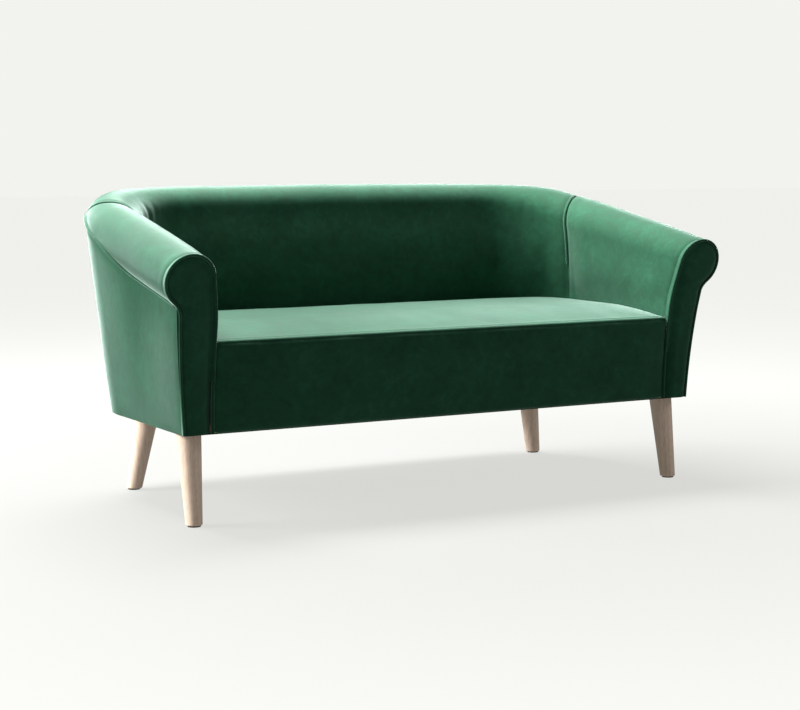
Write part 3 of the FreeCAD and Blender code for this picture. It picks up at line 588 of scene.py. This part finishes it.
def insidePad(name, kind, mirrored, crown, creases=()):
    look = insidePads

    def shape(cell):
        u, v = insideGrid(kind, cell)
        points = insidePoints(2 - u if mirrored else u, v)
        if not mirrored:
            points, u, v = points[::-1], u[::-1], v[::-1]
        return u, v, points, outwards(points)

    _, v, points, _ = shape(look["coarseCell"])
    near = np.minimum.reduce(edgeDistances(points))
    underSeat = 1 - smooth(points[..., 2], 0.43, 0.50)
    onRoll = smooth(v, 0.40, 0.50)                         # the roll is stuffed tight over its rail
    held = np.maximum.reduce([1 - smooth(near, 0.0, 0.03), underSeat, onRoll])
    move = settle(points, held, look["pressure"], look["slack"], look["cap"])
    u, v, points, normal = shape(look["cell"])
    start, end, _, high = edgeDistances(points)
    seam = np.minimum(start, end)
    near = np.minimum(seam, high)
    aboveSeat = smooth(points[..., 2], 0.435, 0.52)
    puff = crown * aboveSeat * smooth(near, 0, look["crownReach"]) * (1 - 0.8 * smooth(v, 0.52, 0.75))
    drop = np.maximum(look["seamDrop"] * np.exp(-(seam / look["seamReach"]) ** 2),
                      look["pipingDrop"] * np.exp(-(high / look["seamReach"]) ** 2))
    puff = puff - drop * smooth(points[..., 2], 0.42, 0.46)
    puff = puff + look["swell"] * waves(points, 0.16, 4) * smooth(near, 0.01, 0.05) * aboveSeat
    for middle, lean, foot, top, width, depth in creases:
        # a shallow valley with a soft ridge along it
        across = np.abs(u - (middle + lean * (v - 0.5))) * 1.35 / width
        fade = smooth(v, foot, foot + 0.10) * (1 - smooth(v, top - 0.10, top))
        puff = puff - depth * fade * np.exp(-across**2) + 0.55 * depth * fade * np.exp(-((across - 1.7) ** 2))
    face = points + spread(move, *points.shape[:2]) + normal * puff[..., None]
    tuckIn = smooth(v, 0.93, look["topEdge"])[..., None]
    behind = points - normal * look["thickness"]
    behind = behind + normal * tuckIn * (look["thickness"] - look["edgeThickness"])
    return closedPad(name, face, behind, velvetCloth)


backPad = insidePad("inside_back_pad", "back", False, insidePads["backCrown"], insidePads["creases"])
finishPiece(backPad, "velvet", "inside_back_cover", "inside_back_foam")
for side, mirrored in (("right", False), ("left", True)):
    pad = insidePad(f"inside_arm_pad_{side}", "arm", mirrored, insidePads["armCrown"])
    finishPiece(pad, "velvet", f"inside_arm_cover_{side}", f"inside_arm_foam_{side}")
print("stage: inside pads made")

# the seat: one long pad that fills the tub and rolls down to the border's seam
seatLook = {
    "gap": 0.0025,             # clear of the inside pads
    "bottom": 0.3256,
    "frontSeam": 0.0070,       # the front seam lies this far behind the face of the border
    "noseDrop": 0.0062,        # the seat rolls down by this to its front seam
    "noseReach": 0.0085,
    "edgeDrop": 0.0065,
    "edgeReach": 0.012,
    "crown": 0.005,
    "rampDepth": 0.22,         # from the front, over which the top rises to its full height
    "stitchBack": 0.0125,      # the topstitched line lies this far behind the front seam
    "stitchDip": 0.0016,
    "pressure": 0.8,
    "slack": 0.002,
    "cap": 0.008,
    "rows": 92,
    "columns": 181,
}


def edgeAcross(rail, y, inset):
    # half width inside a line round the shell, where its two sides close round the back
    front, end, back = rail
    centreX, centreY, depth, lean = (shell[k] for k in ("centreX", "centreY", "halfDepth", "frontLean"))
    t = np.clip((y + depth - lean) / (centreY + depth - lean), 0, 1)
    share = np.clip((y - centreY) / (back - inset - centreY), 0, 1)
    return np.where(y <= centreY, front + (end - front) * t - inset,
                    centreX + (end - inset - centreX) * np.sqrt(1 - share**2))


def seatTop(y):
    t = np.clip((y - frontFace(shell["seatHeight"])) / seatLook["rampDepth"], 0, 1)
    return shell["seatHeight"] + shell["seatCrown"] * (1 - (1 - t) ** 1.5)


def seatFront():
    return float(frontFace(shell["seatHeight"])) + seatLook["frontSeam"]


def seatGrid(rows, columns):
    inset = seatLook["gap"]
    front = seatFront()
    back = insideRail[2] - inset
    middle = shell["centreY"]
    w = np.linspace(0, 1, rows)                            # rows lie close together at the front seam
    t = np.clip(w / 0.74, 0, 1)
    y = front + (middle - front) * (0.25 * t + 0.75 * t**2)
    y = y + (back - middle) * np.sin(np.clip((w - 0.74) / 0.26, 0, 1) * math.pi / 2)
    across = np.linspace(-1, 1, columns)[None, :]
    x = edgeAcross(insideRail, y, inset)[:, None] * across
    y = y[:, None] + 0 * across
    return np.stack([x, y + shell["moveY"], seatTop(y)], axis=-1), y


def seatPad():
    look = seatLook
    rows, columns = look["rows"], look["columns"]

    def edges(points, y):
        # distances to the side or back edge and to the front seam
        side = edgeAcross(insideRail, y, look["gap"]) - np.abs(points[..., 0])
        back = insideRail[2] - look["gap"] - y
        slope = np.where(y > shell["centreY"], np.minimum(side, back), side)
        return np.minimum(side, np.maximum(slope, 0)), y - seatFront()

    points, y = seatGrid(rows // 2, columns // 2)
    side, front = edges(points, y)
    held = 1 - smooth(np.minimum(side, front), 0.0, 0.04)
    move = settle(points[::-1], held[::-1], look["pressure"], look["slack"], look["cap"])[::-1]
    points, y = seatGrid(rows, columns)
    side, front = edges(points, y)
    t = np.clip(side / look["edgeReach"], 0, 1)
    lift = -look["edgeDrop"] * (1 - np.sqrt(np.clip(1 - (1 - t) ** 2.4, 0, 1)))
    lift = lift * (0.15 + 0.85 * smooth(front, 0.01, 0.09))
    lift = lift + look["crown"] * smooth(side, 0.02, 0.22) * smooth(front, 0.03, 0.2)
    nose = np.clip(front / look["noseReach"], 0, 1)
    lift = lift - look["noseDrop"] * (1 - np.sqrt(np.clip(1 - (1 - nose) ** 2, 0, 1)))
    lift = lift - look["stitchDip"] * np.exp(-((front - look["stitchBack"]) / 0.0026) ** 2)
    lift = lift + 0.0008 * waves(points, 0.22, 9) * smooth(side, 0.02, 0.08) * smooth(front, 0.02, 0.08)
    face = points + spread(move, *points.shape[:2])
    face[..., 2] += lift
    behind = points.copy()
    behind[..., 2] = look["bottom"]
    foot = -shell["halfDepth"] + shell["frontLean"] + 0.0056 + shell["moveY"]
    drop = 1 - smooth(front, 0, 0.03)
    behind[..., 1] = behind[..., 1] + (foot - points[0, 0, 1]) * drop
    return closedPad("seat_pad", face[:, ::-1], behind[:, ::-1], velvetCloth), face


seat, seatFace = seatPad()
finishPiece(seat, "velvet", "seat_cover", "seat_foam")
print("stage: seat made")

# the front border under the seat
borderLook = {
    "footHalf": 0.6288,
    "topHalf": 0.6240,
    "top": 0.4150,
    "length": 1.26,
    "crown": 0.0045,
    "lip": 0.015,              # height over which the top rolls back to the seam
    "lipDepth": 0.0068,
    "footRoll": 0.008,         # height over which the foot rolls under
    "footDepth": 0.007,
    "endReach": 0.008,
    "endDrop": 0.003,
    "flange": 0.0068,          # the pad is wider behind, under the arm fronts' piping
    "cell": 0.0075,
    "pressure": 0.6,
    "slack": 0.003,
    "cap": 0.005,
}


def borderPad():
    look = borderLook
    low, high = shell["legHeight"] + 0.0004, look["top"]

    def grid(rows, columns):
        t = 1 - np.linspace(0, 1, columns)[None, :]        # from the foot to the seam,
        t = 1 - (0.3 * t + 0.7 * t**2)                     # with columns close together at the seam
        z = low + (high - low) * t
        s = np.linspace(-1, 1, rows)[:, None]
        half = look["footHalf"] + (look["topHalf"] - look["footHalf"]) * t
        x = half * s
        y = frontFace(z) + shell["moveY"] + 0 * s
        return np.stack([x, y, z + 0 * s], axis=-1), (1 - np.abs(s)) * half, z + 0 * s

    rows, columns = int(look["length"] / look["cell"]) // 2 * 2 + 1, 46
    points, end, z = grid(rows // 2, columns // 2)
    held = 1 - smooth(np.minimum(end, np.minimum(z - low, high - z)), 0.0, 0.03)
    move = settle(points, held, look["pressure"], look["slack"], look["cap"])
    points, end, z = grid(rows, columns)
    puff = look["crown"] * smooth(end, 0, 0.08) * smooth(z, low, low + 0.05)
    puff = puff * (1 - smooth(z, high - 0.05, high))
    puff = puff - look["endDrop"] * np.exp(-(end / look["endReach"]) ** 2)
    rollBack = np.clip((z - (high - look["lip"])) / look["lip"], 0, 1)
    puff = puff - look["lipDepth"] * rollBack**2.2
    under = np.clip(((low + look["footRoll"]) - z) / look["footRoll"], 0, 1)
    puff = puff - look["footDepth"] * under**2
    puff = puff + 0.0009 * waves(points, 0.12, 12) * smooth(end, 0.02, 0.08)
    # a soft pucker at the right end, where the cover is drawn round the board
    pull = np.exp(-((z - 0.330) / 0.010) ** 2) * np.exp(-(end / 0.022) ** 2) * (points[..., 0] > 0)
    puff = puff + 0.0022 * pull
    face = points + spread(move, *points.shape[:2])
    face[..., 1] -= puff
    behind = points.copy()
    # the back of the pad keeps in front of the seat pad, which leans forwards above it
    wall = -shell["halfDepth"] + shell["frontLean"] + 0.0046
    slope = np.clip((z - seatLook["bottom"]) / (high - seatLook["bottom"]), 0, 1)
    behind[..., 1] = wall + (seatFront() - 0.0012 - wall) * slope + shell["moveY"]
    behind[..., 1] = np.maximum(behind[..., 1], face[..., 1] + 0.0015)
    behind[..., 0] += np.sign(behind[..., 0]) * look["flange"] * (end < 0.004) * (1 - slope * 0.6)
    return closedPad("front_border_pad", face, behind, velvetCloth)


border = borderPad()
finishPiece(border, "velvet", "front_border_cover", "front_border_foam")
print("stage: front border made")

# arm fronts: a padded board with piping round it
facingLook = {
    "inset": 0.0040,
    "crown": 0.0050,
    "edgeDrop": 0.0040,        # at its outer edge, and more where it turns in to the seat
    "innerDrop": 0.0125,
    "reach": 0.020,
    "innerReach": 0.040,
    "neckRadius": 0.040,
    "neckOut": 0.019,
    "depth": 0.018,
    "cordRadius": 0.0033,
    "cordInset": 0.0025,
    "cordForward": 0.0020,
    "cordFlange": 0.011,       # the piping's flange runs back between the covers
}


def armOutline(inset, bottom):
    # x and z round an arm front, from its inner foot over the scroll to its outer foot
    radius, centreX, centreZ = shell["scrollRadius"], rollRail[0], shell["armHeight"] - shell["scrollRadius"]
    neck = facingLook["neckRadius"]
    neckX = shell["footX"] + facingLook["neckOut"]
    across = neckX + neck - centreX
    neckZ = centreZ - math.sqrt((radius + neck) ** 2 - across**2)
    turn = math.atan2(neckZ - centreZ, across)
    v = np.linspace(0.15, 0.5, 60)
    rise = insidePoints(0 * v, v)[:, [0, 2]]
    way = np.gradient(rise, axis=0)
    way /= np.linalg.norm(way, axis=1, keepdims=True)
    rise = rise + np.stack([way[:, 1], -way[:, 0]], axis=1) * inset
    start = math.atan2(rise[-1, 1] - centreZ, rise[-1, 0] - centreX) % (2 * math.pi)
    angle = np.linspace(start, turn, 110)[1:]
    top = np.stack([centreX + (radius - inset) * np.cos(angle),
                    centreZ + (radius - inset) * np.sin(angle)], axis=1)
    angle = np.linspace(math.pi + turn, math.pi, 30)[1:]
    hollow = np.stack([neckX + neck + (neck + inset) * np.cos(angle),
                       neckZ + (neck + inset) * np.sin(angle)], axis=1)
    t = np.linspace(0, 1, 60)[1:, None]
    foot = hollow[-1] + (np.array([shell["footX"] - inset, bottom]) - hollow[-1]) * t
    t = np.linspace(0, 1, 40)[:-1, None]
    corner = np.array([rise[0, 0], bottom])
    inner = corner + (rise[0] - corner) * t
    return np.concatenate([inner, rise, top, hollow, foot])


def facingPad(side, sign):
    look = facingLook
    low = shell["legHeight"] + 0.0006
    line = armOutline(look["inset"], low)
    topIndex = int(line[:, 1].argmax())
    topZ = float(line[topIndex, 1])
    centreZ = shell["armHeight"] - shell["scrollRadius"]
    z = np.concatenate([np.linspace(low, centreZ, 76, endpoint=False),
                        centreZ + (topZ - centreZ) * np.sin(np.linspace(0, math.pi / 2, 20))])
    left = np.interp(z, line[:topIndex + 1, 1], line[:topIndex + 1, 0])
    right = np.interp(z, line[topIndex:, 1][::-1], line[topIndex:, 0][::-1])
    s = 0.5 - 0.5 * np.cos(np.linspace(0, math.pi, 27))[None, :]
    s = 0.6 * s + 0.4 * np.linspace(0, 1, 27)[None, :]
    x = left[:, None] + (right - left)[:, None] * s
    z = z[:, None] + 0 * s
    flat = np.stack([x, z], axis=-1).reshape(-1, 2)
    closing = np.stack([np.linspace(line[-1, 0], line[0, 0], 20), np.full(20, low - 0.03)], axis=1)
    rim = np.concatenate([line, closing])
    distance = np.sqrt(((flat[:, None] - rim[None]) ** 2).sum(-1)).min(axis=1).reshape(x.shape)
    inner = smooth((right[:, None] + left[:, None]) / 2 - x, -0.012, 0.024)
    reach = look["reach"] + (look["innerReach"] - look["reach"]) * inner
    drop = look["edgeDrop"] + (look["innerDrop"] - look["edgeDrop"]) * inner
    t = np.clip(distance / reach, 0, 1)
    puff = -drop + (look["crown"] + drop) * (1 - (1 - t) ** 2.2)
    # a small tuft of cloth drawn in beside the hollow under the scroll
    neckX, neckZ = shell["footX"] + 0.004, shell["armHeight"] - 0.118
    puff = puff - 0.003 * np.exp(-(((x - neckX) / 0.008) ** 2 + ((z - neckZ) / 0.006) ** 2))
    points = np.stack([x, frontFace(z) + shell["moveY"] + 0.0015, z], axis=-1)
    puff = puff + 0.0006 * waves(points, 0.10, 21)
    points[..., 1] -= puff
    behind = points.copy()
    behind[..., 1] = frontFace(z) + shell["moveY"] + look["depth"]
    points[..., 0] *= sign
    behind[..., 0] *= sign
    if sign < 0:
        points, behind = points[:, ::-1], behind[:, ::-1]
    piece = closedPad(f"arm_facing_pad_{side}", points, behind, velvetCloth)
    tidyNormals(piece)
    return piece


def facingCord(side, sign):
    look = facingLook
    line = armOutline(look["cordInset"], shell["legHeight"] + 0.0006)
    steps = np.concatenate([[0], np.cumsum(np.linalg.norm(np.diff(line, axis=0), axis=1))])
    even = np.linspace(0, steps[-1], 300)
    line = np.stack([np.interp(even, steps, line[:, 0]), np.interp(even, steps, line[:, 1])], axis=1)
    for _ in range(3):                                     # eases the corners at the foot
        line[1:-1] = (line[:-2] + 2 * line[1:-1] + line[2:]) / 4
    path = np.stack([sign * line[:, 0], frontFace(line[:, 1]) + shell["moveY"] + look["cordForward"],
                     line[:, 1]], axis=1)
    radius = look["cordRadius"]
    return tube(f"arm_facing_cord_{side}", path, radius, radius, (0, 1, 0), velvetCloth,
                flange=look["cordFlange"])


for side, sign in (("right", 1), ("left", -1)):
    facing = facingPad(side, sign)
    finishPiece(facing, "velvet", f"arm_facing_cover_{side}", f"arm_facing_foam_{side}")
    finishPiece(facingCord(side, sign), "velvet", f"arm_facing_piping_{side}")
print("stage: arm fronts made")

# piping under the roll, and the welts between arms and back
pipingLook = {
    "radius": 0.0034,
    "out": 0.0012,
    "flange": 0.009,
    "weltHalfWidth": 0.0042,
    "weltHalfHeight": 0.0021,
    "weltLift": -0.0016,       # the welts lie down in the seams
    "weltLow": 0.325,
    "weltHigh": 0.985,
}
u = np.linspace(0.002, 1.998, 420)
path = outsidePoints(u, 0 * u)
normals = outwards(outsidePoints(u[:, None], np.linspace(0, 0.02, 3)[None, :]))[:, 0]
normals *= np.sign((normals * (path - np.array([0, -0.1, 0.7]))).sum(1))[:, None]
radius = pipingLook["radius"]
rollCord = tube("roll_cord", path + normals * pipingLook["out"], radius, radius, -normals, velvetCloth,
                flange=pipingLook["flange"])
finishPiece(rollCord, "velvet", "roll_piping")

for side, mirrored in (("right", False), ("left", True)):
    v = np.linspace(pipingLook["weltLow"], pipingLook["weltHigh"], 150)
    u = seamPlace(v) + insidePads["seamGap"] / 2
    grid = insidePoints(u[:, None] + np.array([-0.004, 0, 0.004])[None, :], v[:, None])
    up = np.cross(np.gradient(grid[:, 1], axis=0), grid[:, 2] - grid[:, 0])
    up /= np.linalg.norm(up, axis=1, keepdims=True)
    up *= -1 if up[0, 0] > 0 else 1                        # into the tub
    path = grid[:, 1] + up * pipingLook["weltLift"]
    if mirrored:
        path, up = path * (-1, 1, 1), up * (-1, 1, 1)
    welt = tube(f"arm_seam_welt_{side}", path, pipingLook["weltHalfWidth"], pipingLook["weltHalfHeight"], up,
                velvetCloth)
    finishPiece(welt, "velvet")
print("stage: piping made")

# outside covers, stretched over their panels
outsideLook = {
    "thickness": 0.0018,
    "sag": 0.0010,             # slow unevenness of the cloth
    "fullness": 0.0012,
    "edgeDip": 0.0014,
    "turnIn": 0.0026,          # the arm cover's edge is turned in under the back's
    "cornerBulge": 0.0016,
    "cornerPlace": 0.55,       # along the shell from the middle of the back
    "extraWidth": 1.12,        # cloth cut over the finished size
    "extraHeight": 1.25,
}


def outsideCover(name, first, last, rows, turnedIn):
    look = outsideLook
    u = np.linspace(first, last, rows)[:, None]
    v = (0.005 + 0.994 * np.linspace(0, 1, 44))[None, :]
    points = outsidePoints(u + 0 * v, v + 0 * u)
    normal = outwards(points[:, ::-1])[:, ::-1]
    near = np.minimum.reduce(edgeDistances(points))
    sag = look["sag"] * waves(points, 0.30, 3) * smooth(near, 0, 0.06)
    sag = sag + look["fullness"] * smooth(near, 0.0, 0.10) - look["edgeDip"] * np.exp(-(near / 0.010) ** 2)
    place = np.abs(u - 1)
    sag = sag + look["cornerBulge"] * np.exp(-((place - look["cornerPlace"]) / 0.07) ** 2)
    if turnedIn:
        sag = sag - look["turnIn"] * (1 - smooth(place, 0.2965, 0.3005))
    face = points + normal * sag[..., None]
    cover = closedPad(name, face[:, ::-1], (face - normal * look["thickness"])[:, ::-1], velvetCloth)
    cells = np.cross(points[1:, :-1] - points[:-1, :-1], points[:-1, 1:] - points[:-1, :-1])
    return cover, float(np.linalg.norm(cells, axis=-1).sum())


for name, first, last, rows, turnedIn, replaced in (
        ("outside_arm_cloth_right", -0.0035, 0.7045, 112, True, "outside_arm_cover_right"),
        ("outside_arm_cloth_left", 1.2955, 2.0035, 112, True, "outside_arm_cover_left"),
        ("outside_back_cloth", 0.7001, 1.2999, 100, False, "outside_back_cover")):
    cover, area = outsideCover(name, first, last, rows, turnedIn)
    finishPiece(cover, "velvet", replaced)


# lining under the frame and the felt over the springs
flatLook = {
    "under_lining": {"lower": -0.0030, "sag": 0.0030, "ripple": 0.0007, "cell": 0.013, "hem": 0.016},
    "felt_sheet": {"lower": 0.0, "sag": 0.0, "ripple": 0.0003, "cell": 0.013, "hem": 0.012},
}


def flatSheet(name, node, material, slotName, rail, seed):
    # a sheet the size of its node, inside a line round the shell or square across
    look = flatLook[name]
    low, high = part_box(node)
    low.z += look["lower"]
    high.z += look["lower"]
    rows, columns = [int((high - low)[i] / look["cell"]) for i in (1, 0)]
    y = low.y + (high.y - low.y) * np.sin(np.linspace(0, math.pi / 2, rows))   # close rows at the round back
    inset = shell["footX"] - high.x
    half = edgeAcross(rail, y - shell["moveY"], inset) if rail else np.full(rows, shell["footX"] - inset)
    x = half[:, None] * np.linspace(-1, 1, columns)[None, :]
    near = np.minimum(half[:, None] - np.abs(x), np.minimum(y - low.y, high.y - y)[:, None])
    points = np.stack([x, y[:, None] + 0 * x, low.z - look["sag"] * smooth(near, 0.02, 0.22)], axis=-1)
    points[..., 2] += look["ripple"] * waves(points, 0.09, seed) * smooth(near, 0.005, 0.05)
    points[..., 2] -= 0.0005 * np.exp(-((near - look["hem"]) / 0.003) ** 2)
    piece = closedPad(name, points + np.array([0, 0, high.z - low.z]), points, material)
    tidyNormals(piece)
    finishPiece(piece, slotName, node)


flatSheet("under_lining", "dust_cover", lining, "lining_cloth", footRail, 31)
flatSheet("felt_sheet", "spring_felt", felt, "felt", None, 32)
print("stage: outside covers made")

# stitches behind the front seam of the seat: a run of small beads along a path
stitchLook = {"Pitch": 0.0034, "Length": 0.0024, "Thickness": 0.00055}


def stitchTree():
    tree = bpy.data.node_groups.new("stitch_run", "GeometryNodeTree")
    tree.interface.new_socket("Geometry", in_out="INPUT", socket_type="NodeSocketGeometry")
    for label, value in stitchLook.items():
        tree.interface.new_socket(label, in_out="INPUT", socket_type="NodeSocketFloat").default_value = value
    tree.interface.new_socket("Thread", in_out="INPUT", socket_type="NodeSocketMaterial")
    tree.interface.new_socket("Geometry", in_out="OUTPUT", socket_type="NodeSocketGeometry")
    given = addNode(tree, "NodeGroupInput").outputs
    points = addNode(tree, "GeometryNodeCurveToPoints", {"Curve": given["Geometry"], "Length": given["Pitch"]},
                     mode="LENGTH")
    turned = addNode(tree, "FunctionNodeAlignRotationToVector", {"Vector": points.outputs["Tangent"]}, axis="Z")
    bead = addNode(tree, "GeometryNodeMeshUVSphere", {"Segments": 6, "Rings": 5, "Radius": 0.5})
    size = addNode(tree, "CombineXYZ", {"X": given["Thickness"], "Y": given["Thickness"], "Z": given["Length"]})
    placed = addNode(tree, "GeometryNodeInstanceOnPoints",
                     {"Points": points, "Instance": bead, "Rotation": turned, "Scale": size})
    real = addNode(tree, "GeometryNodeRealizeInstances", {"Geometry": placed})
    done = addNode(tree, "GeometryNodeSetMaterial", {"Geometry": real, "Material": given["Thread"]})
    addNode(tree, "NodeGroupOutput", {"Geometry": done})
    return tree

stitchRun = stitchTree()


def stitches(name, path):
    curve = bpy.data.curves.new(name, "CURVE")
    curve.dimensions = "3D"
    line = curve.splines.new("POLY")
    line.points.add(len(path) - 1)
    for point, place in zip(line.points, path):
        point.co = (*place, 1)
    run = bpy.data.objects.new(name + "_path", curve)
    bpy.context.collection.objects.link(run)
    modifier = run.modifiers.new("stitches", "NODES")
    modifier.node_group = stitchRun
    for item in stitchRun.interface.items_tree:
        if item.in_out == "INPUT" and item.name == "Thread":
            modifier[item.identifier] = thread
    shape = run.evaluated_get(bpy.context.evaluated_depsgraph_get())
    mesh = bpy.data.meshes.new_from_object(shape)
    bpy.data.objects.remove(run)
    piece = bpy.data.objects.new(name, mesh)
    bpy.context.collection.objects.link(piece)
    mesh.shade_smooth()
    finishPiece(piece, "velvet")


# the line of stitches lies on the seat's face, a little behind its front edge
face = seatFace[:, 4:-4]
line = face[0].copy()
line[:, 1] += seatLook["stitchBack"]
for k, place in enumerate(line):
    nearest = np.abs(face[:, k, 1] - (seatFace[0, k + 4, 1] + seatLook["stitchBack"])).argmin()
    place[0] = face[nearest, k, 0]
    place[2] = np.interp(place[1], face[:, k, 1], face[:, k, 2]) + 0.0001
stitches("seat_topstitch", line)
print("stage: stitches made")

# floor, light and camera
stageLook = {
    "floor": "#F3F4EF",
    "floorFade": (0.7, 2.7, 0.75, 0.96),   # from and to these distances, from and to this brightness
    "floorBounce": 0.30,
    "floorGrey": 0.055,
    "backdrop": "#F2F3EE",
    "worldStrength": 0.14,
    "aim": (0, 0, 0.4),
    "softboxes": [             # name, place, size, power
        ("top_softbox", (-0.3, 1.35, 3.2), (2.6, 1.3), 570),
        ("left_softbox", (-3.5, 1.35, 1.9), (1.8, 1.4), 300),
        ("fill_softbox", (3.4, -2.0, 2.3), (1.6, 1.2), 18),
    ],
    "azimuth": -30.025,
    "elevation": 6.014,
    "cameraPlace": (-2.4204, -4.2704, 0.8421),
    "lens": 87.07,
}
material, tree = newMaterial("pale_studio_floor")
floor = makePiece("studio_floor", [(-30, -30, 0), (30, -30, 0), (30, 30, 0), (-30, 30, 0)], [(0, 1, 2, 3)],
                  material)
where = addNode(tree, "TexCoord").outputs["Object"]
reach = addNode(tree, "VectorMath", {0: where}, operation="LENGTH").outputs["Value"]
fadeInputs = dict(zip(("From Min", "From Max", "To Min", "To Max"), stageLook["floorFade"]))
fade = addNode(tree, "MapRange", {"Value": reach, **fadeInputs}, interpolation_type="SMOOTHSTEP")
glow = addNode(tree, "Emission", {"Color": paint(stageLook["floor"]), "Strength": fade})
seen = addNode(tree, "LightPath").outputs["Is Camera Ray"]
dark = addNode(tree, "Emission", {"Color": paint(stageLook["floor"]), "Strength": stageLook["floorBounce"]})
only = addNode(tree, "MixShader", {0: seen, 1: dark, 2: glow})
matt = addNode(tree, "BsdfDiffuse", {"Color": grey(stageLook["floorGrey"])})
whole = addNode(tree, "AddShader", {0: only, 1: matt})
addNode(tree, "OutputMaterial", {"Surface": whole})

world = bpy.data.worlds.new("studio")
bpy.context.scene.world = world
world.use_nodes = True
tree = world.node_tree
tree.nodes.clear()
seen = addNode(tree, "LightPath").outputs["Is Camera Ray"]
soft = addNode(tree, "Background", {"Color": grey(1.0), "Strength": stageLook["worldStrength"]})
paper = addNode(tree, "Background", {"Color": paint(stageLook["backdrop"]), "Strength": 1.0})
mixed = addNode(tree, "MixShader", {0: seen, 1: soft, 2: paper})
addNode(tree, "OutputWorld", {"Surface": mixed})

for name, place, size, power in stageLook["softboxes"]:
    lamp = bpy.data.lights.new(name, "AREA")
    lamp.shape = "RECTANGLE"
    lamp.size, lamp.size_y = size
    lamp.energy = power
    box = bpy.data.objects.new(name, lamp)
    box.location = place
    box.rotation_euler = (Vector(stageLook["aim"]) - Vector(place)).to_track_quat("-Z", "Y").to_euler()
    bpy.context.collection.objects.link(box)

lens = bpy.data.cameras.new("camera")
camera = bpy.data.objects.new("camera", lens)
bpy.context.collection.objects.link(camera)
lens.sensor_width = 36
lens.lens = stageLook["lens"]
camera.location = stageLook["cameraPlace"]
turn, rise = math.radians(stageLook["azimuth"]), math.radians(stageLook["elevation"])
back = Vector((math.sin(turn) * math.cos(rise), -math.cos(turn) * math.cos(rise), math.sin(rise)))
camera.rotation_euler = (-back).to_track_quat("-Z", "Y").to_euler()
bpy.context.scene.camera = camera
bpy.context.scene.view_settings.view_transform = "Standard"
print("stage: light and camera set")
